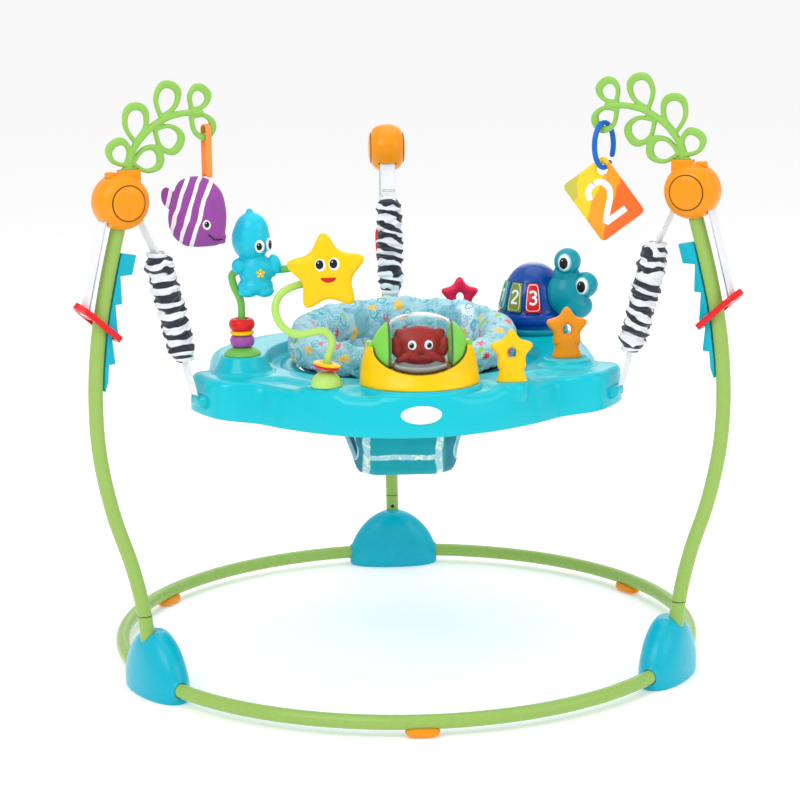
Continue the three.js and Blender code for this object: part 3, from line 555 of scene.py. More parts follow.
def pouch_fabric():
    """Teal cloth with printed bands: one each side of the front panel and one across it."""
    m = Nodes("pouch_fabric", (0.0, 0.33, 0.40), 0.85, sheen=0.3)
    x, y, z = m.split(m.place())
    fade = m.noise(m.place(), 22, 3)
    teal = m.mix(m.spread(fade, 0, 1), (0.0, 0.30, 0.37), (0.0, 0.39, 0.46))
    teal = m.mix(m.step(m.math("ABSOLUTE", m.plus(x, 0.004)), 0.062, 0.002), teal, (0.0, 0.20, 0.27))
    wavy = m.times(m.minus(m.noise(m.place(), 60, 1), 0.5), 0.006)
    front = m.math("LESS_THAN", y, SHIFT.y + SEAT_Y / 1000)
    stripe = lambda along, middle, half: m.minus(1, m.step(
        m.math("ABSOLUTE", m.minus(m.plus(along, wavy), middle)), half, 0.0006))
    upright = m.math("MAXIMUM", stripe(x, -0.060, 0.0052), stripe(x, 0.049, 0.0052))
    level = m.times(stripe(z, 0.313, 0.0042), between(m, x, -0.06, 0.049))
    band = m.times(m.math("MAXIMUM", upright, level), front)
    specks = m.step(m.noise(m.place(), 110, 2), 0.56, 0.03)
    m.color(m.mix(band, teal, m.mix(specks, (0.40, 0.68, 0.78), (0.86, 0.90, 0.70))))
    m.rough(m.spread(fade, 0.78, 0.95))
    m.bump(weave_height(m, m.place("UV"), 1300), 0.3, 0.0003)
    return m.material


def card_print():
    """The card's wavy fields of green, yellow, orange and red, seen on both faces."""
    m = Nodes("card_print", (1, 0.5, 0.05), 0.3, coat=0.3)
    place = m.place()
    slope = (CARD_U * 0.75 - CARD_W).normalized()
    along = m.add("ShaderNodeVectorMath", {0: place, 1: slope}, operation="DOT_PRODUCT")
    wave = m.times(m.noise(place, 26, 1, 0.5), 0.03)
    middle = slope.dot(to_row(CARD_CENTRE))
    share = m.plus(m.minus(along.outputs["Value"], middle), wave)
    tone = (0.56, 0.52, 0.06)
    fields = ((-0.026, (0.95, 0.62, 0.01)), (0.002, (0.95, 0.33, 0.01)), (0.03, (0.88, 0.14, 0.01)))
    for edge, color in fields:
        tone = m.mix(m.step(share, edge, 0.0015), tone, color)
    m.color(tone)
    m.rough(m.spread(m.noise(place, 50, 3), 0.24, 0.36))
    return m.material


def fish_skin():
    """Purple plush with slanting white stripes."""
    m = Nodes("fish_skin", PURPLE_TONE, 0.7, sheen=0.3)
    place = m.place()
    x, _, z = m.split(place)
    slant = m.plus(m.times(x, STRIPE_LEAN[0]), m.times(z, STRIPE_LEAN[1]))
    wander = m.times(m.noise(place, 40, 1), 0.006)
    wave = m.math("SINE", m.times(m.plus(slant, wander), 2 * math.pi / 0.0165))
    stripe = m.step(wave, 0.42, 0.08)
    fade = m.noise(place, 90, 3)
    skin = m.mix(m.spread(fade, 0, 1), shade(PURPLE_TONE, 0.85), shade(PURPLE_TONE, 1.12))
    face = m.math("LESS_THAN", slant, FISH_FACE)
    m.color(m.mix(m.times(stripe, face), skin, (0.80, 0.78, 0.84)))
    m.rough(m.spread(fade, 0.6, 0.8))
    m.bump(m.noise(place, 1500, 2), 0.25, 0.0003)
    return m.material


# ---------------------------------------------------------------- driving dimensions, as in the CAD
# Points of a path are (distance from the ring's centre, height), and each station repeats them.

RING_R, TUBE_R, RING_Z, TUBE_SETBACK = 440, 10.5, 21, 5.5
POST = [(445, 46), (450, 114), (466, 190), (494, 278), (511, 365), (514, 445), (507, 525), (491, 605),
        (466, 696)]
FOOT = {"half_length": 76, "half_depth": 34, "height": 93}
FOOT_LEVELS = [(0, 1, 1), (0.28, 0.98, 1), (0.52, 0.87, 0.93), (0.75, 0.67, 0.8), (0.92, 0.42, 0.6),
               (1, 0.2, 0.42)]
HUB_R, HUB_Z, HUB_RADIUS, HUB_HALF = 464, 722, 40, 30
HUB_BARREL, HUB_CROWN = 0.62, 0.8  # how square the drum's rim and faces are
SLEEVE_TOP, SLEEVE_LOW, SLEEVE_RADIUS, SLEEVE_BANDS = (411, 645), (372, 487), 19, 28
HOOK = (359, 434)
CLIP_END, CLIP_SLOPE = (478.5, 529), math.radians(42)
CLIP_THICKER = 0.55  # the moulded clip bulges by this share past its flat CAD plate
WEB_HALF, WEB_THICK = 12.5, 0.9
BEND_R, BEND_Z = 22, 716
SEAT_Y = -10
DECK_Z, MOAT_Z = 458, 440
TOY_R = 328
CARD_CENTRE = spin((TOY_R, 0, 705), STATIONS["right"]) + Vector((1, 0, 0))
CARD_TURN = Matrix.Rotation(math.radians(-20), 3, "Z") @ Matrix.Rotation(math.radians(-37), 3, "Y")
CARD_U, CARD_W = CARD_TURN @ Vector((1, 0, 0)), CARD_TURN @ Vector((0, 0, 1))
FISH = spin((TOY_R, 0, 698), STATIONS["left"]) - Vector((6, 0, 0))
FISH_OUTLINE = [(-34, 42), (-17, 50), (5, 48), (26, 30), (33, 4), (32, -25), (25, -46), (0, -51), (-29, -48),
                (-46, -30), (-50, -8), (-44, 16)]
STRIPE_LEAN = (0.95, -0.31)
FISH_FACE = (STRIPE_LEAN[0] * (FISH.x + 10) + STRIPE_LEAN[1] * FISH.z) / 1000
PURPLE_TONE = (0.28, 0.055, 0.32)

ZEBRA = zebra_fabric()
PRINT = print_fabric("print_fabric")
BINDING = print_fabric("leg_binding_print")
POUCH_CLOTH = pouch_fabric()
CARD_PRINT = card_print()
FISH_SKIN = fish_skin()
CLEAR = clear_plastic()


# ---------------------------------------------------------------- base ring, feet and posts

def ring_arc(middle, half, count, z=RING_Z):
    angles = [math.radians(mix(middle - half, middle + half, i / count)) for i in range(count + 1)]
    return [Vector((RING_R * math.cos(a), RING_R * math.sin(a), z)) for a in angles]


def base_tubes():
    for name, middle in {"front": 270, "right": 30, "left": 150}.items():
        tube = sweep(f"ring_tube_{name}", ring_arc(middle, 60 - TUBE_SETBACK, 90), TUBE_R, TUBE_R, LIME,
                     across=(0, 0, 1), sides=36)
        fit(tube, "frame", "lime_paint", f"base_tube_{name}")
        round_off = lambda s: (1 - (2 * s - 1) ** 4) ** 0.5
        pad = sweep(f"floor_pad_{name}", ring_arc(middle, 3.2, 16, 7.6), lambda s: 12.5 * round_off(s) + 0.5,
                    lambda s: 6.6 * round_off(s) + 0.5, ORANGE, across=spin((1, 0, 0), middle), square=3)
        fit(pad, "frame", "orange_plastic")


def superellipse_ring(half_x, half_y, square, sides):
    return [(power(c, 2 / square) * half_x, power(s, 2 / square) * half_y) for c, s in circle(sides)]


def carve(obj, cutters):
    """Cuts shapes out of obj and removes them."""
    for cutter in cutters:
        cut = obj.modifiers.new("cut", "BOOLEAN")
        cut.operation = "DIFFERENCE"
        cut.solver = "EXACT"
        cut.object = cutter
    settle(obj)
    for cutter in cutters:
        bpy.data.objects.remove(cutter)
    return obj


def turned_copy(obj, name, degrees):
    """A copy of obj turned about the ring's centre, with the turn in its mesh."""
    copy = add_object(name, obj.data.copy())
    centre = Matrix.Translation(SHIFT)
    copy.data.transform(centre @ Matrix.Rotation(math.radians(degrees), 4, "Z") @ centre.inverted())
    return copy


def foot_shape():
    """One foot in the station's own frame, at angle 0: a bell with sockets for post and tubes."""
    levels = smooth_path([(along, across, up) for up, along, across in FOOT_LEVELS], 8)
    levels = [Vector((0.965, 0.94, 0)), Vector((0.99, 0.985, 0.012))] + levels[2:]
    rings = []
    for along, across, up in levels:
        outline = superellipse_ring(FOOT["half_depth"] * across, FOOT["half_length"] * along, 2.15, 72)
        rings.append([(FOOT_RADIUS + x, y, FOOT["height"] * up) for x, y in outline])
    lips = [sweep("foot_lip", ring_arc(side * 7.2, 2.6, 8), 12.9, 12.9, TEAL, across=(0, 0, 1))
            for side in (-1, 1)]
    foot = meld("foot_shape", [grid("foot_bell", rings, TEAL)] + lips, 1.9, 6, TEAL)
    sockets = [sweep("foot_bore", ring_arc(side * 10, 3.4, 8), 11.6, 11.6, SEAM, across=(0, 0, 1))
               for side in (-1, 1)]
    top = smooth_path([(446.6, 0, 84), (447.5, 0, 88), (450, 0, 104)], 4)
    sockets.append(sweep("foot_top_bore", top, 11.7, 11.7, SEAM))
    return carve(foot, sockets)


def feet():
    model = foot_shape()
    for name, angle in STATIONS.items():
        foot = turned_copy(model, f"moulded_foot_{name}", angle)
        shade_smooth(foot)
        fit(foot, "frame", "teal_plastic", f"foot_{name}")
    bpy.data.objects.remove(model)


def post_path(angle):
    return smooth_path([spin((r, 0, z), angle) for r, z in POST], 10)


def post_r(z):
    """The post's distance from the ring's centre at a height."""
    path = smooth_path([(r, 0, height) for r, height in POST], 10)
    above = next(i for i, p in enumerate(path) if p.z >= z)
    low, high = path[above - 1], path[above]
    return mix(low.x, high.x, (z - low.z) / (high.z - low.z))


def posts():
    for name, angle in STATIONS.items():
        tube = sweep(f"bowed_post_{name}", post_path(angle), TUBE_R, TUBE_R, LIME,
                     across=spin((0, 1, 0), angle), sides=36)
        fit(tube, "frame", "lime_paint", f"post_{name}")
        rims = []
        for z in (118, 118.9):
            rim = [spin((post_r(z) + 10.35 * c, 10.35 * s, z), angle) for c, s in circle(36)]
            rims.append(sweep("post_seam", rim, 0.4, 0.4, SEAM, closed=True, sides=8))
        fit(join(f"post_seam_{name}", rims), "frame", "lime_paint")
        buttons = []
        for z, size in ((100, 3.4), (640, 2.4)):
            place = spin((post_r(z) - TUBE_R + 0.9, 0, z), angle)
            buttons.append(lathe("button", [(0.1, 1.9), (size * 0.7, 1.5), (size, 0), (size, -1.5)], BLACK,
                                 centre=place, axis=spin((-1, 0, 0.1), angle), sides=20))
        fit(join(f"spring_button_{name}", buttons), "frame", "dark_blue_plastic")


# ---------------------------------------------------------------- hubs, racks, clips and webbing

def strap_inner_path():
    points = []
    for angle in range(8, 191, 14):
        turn = math.radians(angle)
        points.append((HUB_R + BEND_R * math.cos(turn), 0, BEND_Z + BEND_R * math.sin(turn)))
    return points + [(SLEEVE_TOP[0], 0, SLEEVE_TOP[1] - 4)]


def block(name, corners):
    """A cutter from four corners of its floor and four of its roof."""
    faces = [(3, 2, 1, 0), (4, 5, 6, 7), (0, 1, 5, 4), (1, 2, 6, 5), (2, 3, 7, 6), (3, 0, 4, 7)]
    return make(name, corners, faces, SEAM, flat=True)


def slab(name, x0, x1, half_y, z0, z1):
    floor = ((x0, -half_y), (x1, -half_y), (x1, half_y), (x0, half_y))
    return block(name, [(x, y, z) for z in (z0, z1) for x, y in floor])


def hub_shape(with_arm):
    """A hub at angle 0: a fat rounded drum with ports for webbing, post, arm and latch."""
    profile = []
    for step in range(-18, 19):
        along = math.radians(step * 5)
        reach = abs(math.cos(along)) ** HUB_BARREL * HUB_RADIUS
        profile.append((max(reach, 0.2), HUB_HALF * power(math.sin(along), HUB_CROWN)))
    parts = [lathe("hub_drum", profile, ORANGE, centre=(HUB_R, 0, HUB_Z), axis=(0, 1, 0), sides=96)]
    if with_arm:
        seat_block = [(449, 0, 748), (449, 0, 766)]
        parts.append(sweep("hub_arm_seat", seat_block, 16, 11, ORANGE, across=(1, 0, 0), square=4))
    hub = meld("hub_shape", parts, 1.0, 5, ORANGE)
    webs = ([(HUB_R + 22, 0, 712), (500, 0, 668)], [(442, 0, 712), (420, 0, 664)])
    cutters = [sweep("web_port", path, 15.2, 3.4, SEAM, across=(0, 1, 0), square=5) for path in webs]
    cutters.append(sweep("post_port", [(468.5, 0, 700), (465, 0, 670)], 11.6, 11.6, SEAM, across=(0, 1, 0)))
    if with_arm:
        cutters.append(slab("arm_port", 437, 461, 5.6, 742, 780))
        cutters.append(slab("latch_port", 469.4, 484.6, 7.6, 748, 800))
    return carve(hub, cutters)


def hub_face(radius):
    """How far the hub's rounded face stands from its middle, at a radius."""
    lean = math.acos((radius / HUB_RADIUS) ** (1 / HUB_BARREL))
    return HUB_HALF * math.sin(lean) ** HUB_CROWN


def hub_cap(name, angle):
    """Round caps let into both faces of the hub, each in a dark seam."""
    cap = [(r, hub_face(r) + 1.1) for r in (0.2, 6, 12, 17, 20, 22.6)]
    cap += [(24, hub_face(24) + 0.6), (24.4, hub_face(24.4) - 1), (24.4, 12)]
    seam = [(0.2, 24), (24.4, hub_face(24.4) + 0.75), (25.4, hub_face(25.4) + 0.75), (25.4, 12)]
    parts = []
    for side in (-1, 1):
        centre = spin((HUB_R, 0, HUB_Z), angle)
        axis = spin((0, side, 0), angle)
        parts.append(lathe("cap_disc", cap, ORANGE, centre=centre, axis=axis, sides=64))
        parts.append(lathe("cap_seam", seam, SEAM, centre=centre, axis=axis, sides=64))
    return fit(join(f"hub_cap_{name}", parts), "frame", "orange_plastic")


def hubs():
    models = {True: hub_shape(True), False: hub_shape(False)}
    for name, angle in STATIONS.items():
        hub = turned_copy(models[name != "back"], f"moulded_hub_{name}", angle)
        shade_smooth(hub)
        fit(hub, "frame", "orange_plastic", f"hub_{name}")
        hub_cap(name, angle)
        if name != "back":
            latch = bevelled(f"release_tab_{name}", f"arm_latch_{name}", ORANGE, 2.2)
            fit(latch, f"latch_{name}", "orange_plastic")
    for model in models.values():
        bpy.data.objects.remove(model)


def racks_and_clips():
    for name, angle in STATIONS.items():
        fit(bevelled(f"toothed_rack_{name}", f"height_rack_{name}", TEAL, 1.3, 25), "frame", "teal_plastic")
        clip = bevelled(f"red_clip_{name}", f"height_clip_{name}", RED, 1.5)
        middle = to_row(spin((CLIP_END[0], 0, CLIP_END[1]), angle))
        normal = spin((-math.sin(CLIP_SLOPE), 0, math.cos(CLIP_SLOPE)), angle)
        for vertex in clip.data.vertices:
            vertex.co += normal * ((vertex.co - middle).dot(normal) * CLIP_THICKER)
        fit(clip, f"clip_{name}", "red_plastic")


def webbing(name, path, angle):
    placed = [spin(p, angle) for p in path]
    length = sum((b - a).length for a, b in zip(placed, placed[1:])) / 1000
    return sweep(name, placed, WEB_HALF, WEB_THICK, WEBBING, across=spin((0, 1, 0), angle), square=6,
                 sides=28, uv=(0.052, length))


CLIP_SLOT = (523, 0, 573.8)


def straps():
    for name, angle in STATIONS.items():
        slot = Vector(CLIP_SLOT)
        near = lambda across, up: slot + Vector((across, 0, up))
        hub_inside = Vector((HUB_R + 21.8, 0, 719))
        hub_outside = Vector((HUB_R + 24.6, 0, 714))
        going = [hub_inside.lerp(near(-1.2, 1), s / 24) for s in range(25)]
        turn = [near(-0.8, -5), near(1.6, -7), near(3.8, -5)]
        coming = [near(2.4, 1).lerp(hub_outside, s / 24) for s in range(25)]
        outer = webbing(f"outer_strap_{name}", going + turn + coming, angle)
        to_row(spin(hub_inside - Vector((0, 0, 20)), angle))
        to_row(spin(slot + Vector((0, 0, 3)), angle))
        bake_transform(outer)
        inner = webbing(f"inner_strap_{name}", smooth_path(strap_inner_path(), 6), angle)
        fit(inner, "frame", "webbing", f"suspension_strap_{name}")
        stitch_rows(f"strap_stitches_{name}", angle)


def stitch_rows(name, angle):
    """Bar tacks across the inner strap, just above the sleeve."""
    base = Vector(SLEEVE_TOP + (0,)).xzy
    along = (Vector((442.3, 0, 712.2)) - base).normalized()
    out = Vector((-along.z, 0, along.x)) * 1.1
    stitches = []
    for row in (9, 12.2):
        for k in range(11):
            ends = [base + along * row + out + Vector((0, mix(-10, 10, k / 10) + half, 0))
                    for half in (-0.7, 0.7)]
            stitches.append(sweep("stitch", [spin(end, angle) for end in ends], 0.3, 0.3, BLACK, sides=6))
    return fit(join(name, stitches), "frame", "webbing")


# ---------------------------------------------------------------- springs and gathered sleeves

def line_point(share):
    return Vector((mix(SLEEVE_LOW[0], SLEEVE_TOP[0], share), 0, mix(SLEEVE_LOW[1], SLEEVE_TOP[1], share)))


def spring_blend(obj, angle):
    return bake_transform(obj, "frame", "tray", start=to_row(spin(line_point(0.99), angle)),
                    end=to_row(spin(line_point(0.01), angle)))


COILS, COIL_RADIUS = 22, 11


def coils():
    for name, angle in STATIONS.items():
        path = []
        for i in range(COILS * 20 + 1):
            turn = 2 * math.pi * i / 20
            centre = line_point(mix(0.95, 0.05, i / (COILS * 20)))
            path.append(spin(centre + Vector((math.cos(turn), math.sin(turn), 0)) * COIL_RADIUS, angle))
        coil = sweep(f"coil_spring_{name}", path, 1.3, 1.3, STEEL, sides=8)
        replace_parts(coil, f"bounce_spring_{name}")
        spring_blend(coil, angle)


def sleeve_radius(share, turn, seed):
    """Gathers: short crumpled folds that run part of the way round."""
    ends = min(share, 1 - share) / 0.1
    body = SLEEVE_RADIUS * mix(0.62, 1.02, ease(ends))
    place = Vector((math.cos(turn) * 0.9 + seed, math.sin(turn) * 0.9, share * 11))
    folds = 2.8 * noise.noise(place) + 1.9 * noise.noise(place * 2.3 + Vector((7, 0, 0)))
    ridge = 1.5 * math.sin(2 * math.pi * (share * 12 + 0.7 * noise.noise(place * 0.7)))
    fine = 0.6 * noise.noise(Vector((math.cos(turn) * 3, math.sin(turn) * 3 + seed, share * 46)))
    return body + (folds + ridge + fine) * ease(min(1, ends))


def sleeve_rings(seed, angle):
    levels, sides = 170, 96
    axis = (line_point(1) - line_point(0)).normalized()
    out = Vector((axis.z, 0, -axis.x))
    rings = []
    for share in [i / levels for i in range(levels + 1)]:
        sway = 2.6 * noise.noise(Vector((seed * 3.1, 2, share * 5))) * ease(min(share, 1 - share) * 8)
        ring = []
        for k in range(sides):
            turn = 2 * math.pi * k / sides
            size = sleeve_radius(share, turn, seed * 5.3)
            ring.append(spin(line_point(share) + out * (size * math.cos(turn) + sway)
                             + Vector((0, size * 1.06 * math.sin(turn), 0)), angle))
        rings.append(ring)
    return rings


def cloth_skin(obj, thickness):
    """Gives a sheet of cloth its thickness, inwards, in metres."""
    skin = obj.modifiers.new("cloth", "SOLIDIFY")
    skin.thickness = thickness
    skin.offset = -1
    return settle(obj)


def cuff(end, share, name, angle):
    """The bound end of a sleeve, drawn in round the spring."""
    rings = []
    for i in range(13):
        bow = (i - 6) / 6
        size = SLEEVE_RADIUS * 0.66 + 2.1 - abs(bow) ** 4
        rings.append([spin(line_point(share + bow * 0.018) + Vector((size * c, size * 1.08 * s, 0)), angle)
                      for c, s in circle(48)])
    return grid(f"sleeve_cuff_{end}_{name}", rings, WEBBING, uv=(0.1, 0.012))


def sleeves():
    for seed, (name, angle) in enumerate(STATIONS.items()):
        tube = grid(f"gathered_sleeve_{name}", sleeve_rings(seed, angle), ZEBRA, caps=False, uv=(0.13, 0.30))
        cloth_skin(tube, 0.0012)
        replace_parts(tube, f"spring_sleeve_{name}")
        spring_blend(tube, angle)
        for end, share, body in (("top", 0.985, "frame"), ("low", 0.02, "tray")):
            fit(cuff(end, share, name, angle), body, "webbing")
        top, hook = (SLEEVE_LOW[0], 0, SLEEVE_LOW[1] + 4), (HOOK[0], 0, HOOK[1] + 1)
        tail = [top, (367, 0, 466), (361.5, 0, 446), hook]
        fit(webbing(f"lower_strap_{name}", smooth_path(tail, 8), angle), "tray", "webbing")


# ---------------------------------------------------------------- leaf arms

STEM = [(449, 763), (446, 784), (426, 811), (396, 831), (364, 839), (334, 838)]
LEAVES = [(451, 768, 62, 46, 38), (438, 799, 94, 60, 41), (398, 832, 112, 57, 41), (350, 840, 125, 44, 36),
          (352, 836, -142, 48, 37), (410, 822, -146, 55, 42), (447, 773, 170, 54, 40)]
LEAF_BAND = 9


def bezier(p0, p1, p2, p3, steps):
    points = []
    for k in range(steps):
        t = k / steps
        a, b, c = p0.lerp(p1, t), p1.lerp(p2, t), p2.lerp(p3, t)
        points.append(a.lerp(b, t).lerp(b.lerp(c, t), t))
    return points


def teardrop(length, width):
    """Outline from the leaf's point along +X."""
    near = [(0, 0), (0.3, -0.42), (0.4, -0.5), (0.62, -0.5)]
    far = [(0.62, -0.5), (0.88, -0.5), (1, -0.3), (1, 0)]
    runs = [near, far] + [[(x, -y) for x, y in run[::-1]] for run in (far, near)]
    return [p for run in runs for p in bezier(*[Vector((x * length, y * width)) for x, y in run], 16)]


def leaf_band(angle, r, z, turn, length, width):
    outer = teardrop(length, width)
    inner = [p + Vector((LEAF_BAND, 0)) for p in teardrop(length - 2.3 * LEAF_BAND, width - 1.7 * LEAF_BAND)]
    c, s = math.cos(math.radians(turn)), math.sin(math.radians(turn))
    rings = []
    for o, i in zip(outer, inner):
        middle, half = (o + i) / 2, (o - i) / 2
        ring = []
        for ca, sa in circle(20):
            flat = middle + half * power(ca, 0.72)
            deep = 4.3 * power(sa, 0.72)
            ring.append(spin((r + flat.x * c - flat.y * s, deep, z + flat.x * s + flat.y * c), angle))
        rings.append(ring)
    return grid("leaf_band", rings, LEAF, looped=True)


def leaf_arms():
    for name in ("left", "right"):
        angle = STATIONS[name]
        flat = spin((0, 1, 0), angle)
        stem = smooth_path([spin((r, 0, z), angle) for r, z in STEM], 8)
        tongue = [spin((449, 0, z), angle) for z in (743, 752, 760, 768)]
        parts = [sweep("stem", stem, 5.6, 4.6, LEAF, across=flat, square=2.8, rounded_ends=True),
                 sweep("tongue", tongue, 4, 11, LEAF, across=flat, square=6)]
        parts += [leaf_band(angle, *leaf) for leaf in LEAVES]
        arm = meld(f"moulded_arm_{name}", parts, 1.0, 2, LEAF)
        fit(arm, "frame", "leaf_green_plastic", f"leaf_arm_{name}")


# ---------------------------------------------------------------- tray

LOBE, LOBE_HALF, LOBE_LIFT = 47, 11.5, 8
BEAD_BASE, ORANGE_PEG, YELLOW_PEG, RED_PEG = (-240, -128), (236, -130), (143, -250), (106, 240)
DOME_BASE = (-120, -254)
TURTLE, TURTLE_R, RISE = (214, 124), 55, 10
ROLLER = Vector((12, -262, 516))
# Places where the deck stays flat under a toy: middle and radius.
FLAT_SPOTS = [(DOME_BASE, 30), (YELLOW_PEG, 30), (RED_PEG, 27), (ORANGE_PEG, 44), (BEAD_BASE, 44),
              (TURTLE, 62), ((8, -262), 60)]
BARREL_RADIUS, BARREL_HALF, WINDOW_HALF = 46.5, 66, 44


def angle_from(angle, centre):
    return abs((angle - centre + 180) % 360 - 180)


def lobe_share(angle):
    return max(math.exp(-((angle_from(angle, place) / LOBE_HALF) ** 6)) for place in STATIONS.values())


def tray_radius(angle):
    front = math.exp(-((angle_from(angle, 270) / 31) ** 2))
    rear = max(math.exp(-((angle_from(angle, middle) / 20) ** 4)) for middle in (30, 150))
    return 300 + LOBE * lobe_share(angle) + 27 * front + 13 * rear


def seat_circle(angle, radius):
    turn = math.radians(angle)
    across = SEAT_Y * math.cos(turn)
    return SEAT_Y * math.sin(turn) + math.sqrt(radius ** 2 - across ** 2)


def deck_height(x, y, inwards, lobe):
    """The deck, a little lower towards its shoulder, with flat places left under the toys."""
    drop = 7 * ease((34 - inwards) / 26) * (1 - lobe)
    for (cx, cy), radius in FLAT_SPOTS:
        drop *= ease((math.hypot(x - cx, y - cy) - radius) / 12)
    return DECK_Z - drop


def tray_section(angle):
    """The tray's cross-section, from the seat opening over the deck and round the skirt."""
    edge = tray_radius(angle)
    lobe = lobe_share(angle)
    low = 395 + LOBE_LIFT * lobe
    round_by, slope = mix(17, 11, lobe), mix(5, 2, lobe)
    opening, moat = seat_circle(angle, 178), seat_circle(angle, 202)
    turn = math.radians(angle)
    section = [(opening, MOAT_Z - 3.4), (opening, MOAT_Z - 1), (opening + 1, MOAT_Z)]
    section += [(mix(opening + 2, moat - 2, k / 3), MOAT_Z) for k in range(4)]
    section += [(mix(moat - 1, moat + 9, k / 6), mix(MOAT_Z, DECK_Z, ease(k / 6))) for k in range(7)]
    for k in range(1, 23):
        r = mix(moat + 10, edge - slope - round_by, k / 22)
        section.append((r, deck_height(r * math.cos(turn), r * math.sin(turn), edge - 22 - r, lobe)))
    shoulder = section[-1][1]
    section += round_over(edge - slope - round_by, shoulder, round_by, 9, 10)
    for share in [k / 8 for k in range(1, 9)]:
        section.append((edge - slope + slope * math.sin(math.pi * 0.5 * share),
                        mix(shoulder - round_by, low + 4, share)))
    section += [(edge + 0.2, low + 2), (edge - 0.8, low + 0.4), (edge - 2.4, low), (edge - 3.8, low + 1)]
    section += [(edge - 4.2 - slope, low + 8), (edge - 12, shoulder - 15), (edge - 28, shoulder - 6)]
    section += [(moat + 11, DECK_Z - 4), (moat + 4, MOAT_Z - 4), (opening + 1, MOAT_Z - 4)]
    return [(r * math.cos(turn), r * math.sin(turn), z) for r, z in section]


def disc(name, centre, radius, low, top, round_by, material):
    edge = radius - round_by
    profile = [(0.2, top), (edge, top)] + round_over(edge, top, round_by, 18, 5) + [(radius + 1.2, low)]
    return lathe(name, profile, material, centre=(*centre, 0), sides=96)


def platform(centre, foot, top, rise):
    """A raised toy stand: flat on top, narrowing upwards, with a soft fillet at its foot."""
    profile = [(0.2, DECK_Z + rise), (top - 4, DECK_Z + rise)]
    profile += round_over(top - 4, DECK_Z + rise, 4, 17, 5)
    profile.append((mix(foot, top, 0.35), DECK_Z + rise * 0.35))
    for out, up in ((0, 3.2), (1.6, 1.6), (4, 0.5), (7, 0.1), (7.5, -3)):
        profile.append((foot + out, DECK_Z + up))
    return lathe("platform", profile, TURQUOISE, centre=(*centre, 0), sides=96)


def boss(centre, half_x, half_y):
    """A soft swelling of the shoulder, level with the deck, that a toy stands on."""
    rings = []
    for inset, z in ((12, 420), (3, 432), (0, 442), (0.8, 450), (2.6, 455), (5, 457.6), (8, 458.3)):
        ring = superellipse_ring(half_x - inset, half_y - inset, 2, 96)
        rings.append([(centre[0] + x, centre[1] + y, z) for x, y in ring])
    return grid("boss", rings, TURQUOISE)


def skirt_point(angle, z, out):
    """A point just outside the tray's skirt or shoulder."""
    edge = tray_radius(angle)
    if z < 434:
        r = edge - 5 + 5 * math.sin(math.pi / 2 * (434 - z) / 35)
    else:
        r = edge - 22 + 17 * math.sin(math.acos(1 - (451 - z) / 17))
    turn = math.radians(angle)
    return Vector(((r + out) * math.cos(turn), (r + out) * math.sin(turn), z))


def badge():
    """A plain raised oval on the front of the skirt."""
    rings = []
    for size, out in ((0.02, 2.6), (0.5, 2.6), (0.86, 2.5), (0.95, 2.2), (1, 1.4), (1.01, -1)):
        rings.append([skirt_point(271.8 + 5.1 * size * c, 427.5 + 12.5 * size * s, out)
                      for c, s in circle(64)])
    fit(grid("plain_badge", rings, WHITE), "tray", "turquoise_plastic")


def tray():
    parts = [grid("tray_shell_skin", [tray_section(1.5 * i) for i in range(240)], TURQUOISE, looped=True),
             platform(BEAD_BASE, 42, 33.5, 24), platform(ORANGE_PEG, 39, 36, RISE),
             platform(TURTLE, TURTLE_R, 53, RISE)]
    parts += [boss((x * 0.99, y * 0.99), 27, 27) for x, y in (DOME_BASE, YELLOW_PEG)]
    parts.append(boss((ROLLER.x, ROLLER.y + 20), 93, 75))
    for angle in STATIONS.values():
        lug = [spin((343, side, 424), angle) for side in (-17, 17)]
        parts.append(sweep("hook_lug", lug, 12, 9, TURQUOISE, across=spin((1, 0, 0), angle), square=3))
    fit(join("moulded_tray", parts), "tray", "turquoise_plastic", "tray_shell")
    loop = [(164, 428), (175, 428), (175, 441), (186, 441), (186, 445), (164, 445)]
    rings = [[(r * c, r * s + SEAT_Y, z) for r, z in loop] for c, s in circle(120)]
    seat_ring = grid("turning_seat_ring", rings, TURQUOISE, looped=True)
    fit(seat_ring, "seat", "turquoise_plastic", "seat_ring")


# ---------------------------------------------------------------- padded seat

COLLAR_OUT, COLLAR_IN, COLLAR_PLEATS = 173, 124, 46


def collar_point(turn, phi):
    """A point on the collar: turn is the way round the seat, phi the way round its section."""
    middle, half = (COLLAR_OUT + COLLAR_IN) / 2, (COLLAR_OUT - COLLAR_IN) / 2
    height = 60 + 15 * math.sin(turn)
    c, s = math.cos(phi), math.sin(phi)
    gather = 0.5 + 0.5 * ripple(turn, 2.6, 4)
    near_seam = max(0, -s) ** 0.7 + 0.55 * abs(c)
    pleat = math.cos(COLLAR_PLEATS * turn + 3.5 * ripple(turn, 3, 0))
    fold = 2.3 * pleat * near_seam * gather + 3.2 * ripple(turn, 7, s * 1.3 + c)
    crease = ripple(turn, 8.5, s * 1.9 + c * 1.4)
    fold -= 3.2 * max(0, 1 - abs(crease) / 0.17)
    r = middle + (half - 1.5 + fold) * power(c, 0.92 if s > 0 else 0.6)
    z = MOAT_Z + 6 + height / 2 + (height / 2 - 1.5 + fold) * power(s, 0.92)
    return Vector((r * math.cos(turn), r * math.sin(turn) + SEAT_Y, z))


def collar():
    around, section = 260, 52
    seam = math.radians(300)
    rings = [[collar_point(seam + 2 * math.pi * i / around, 2 * math.pi * k / section - math.pi / 2)
              for k in range(section)] for i in range(around)]
    ring = grid("padded_collar", rings, PRINT, looped=True, uv=(0.19, 1.05))
    swell(ring, pressure=3.2, cap=5, pinned=lambda p: p.z < (MOAT_Z + 12) / 1000)
    smoother = ring.modifiers.new("finer", "SUBSURF")
    smoother.levels = 1
    settle(ring)
    fit(ring, "seat", "print_fabric", "seat_collar")


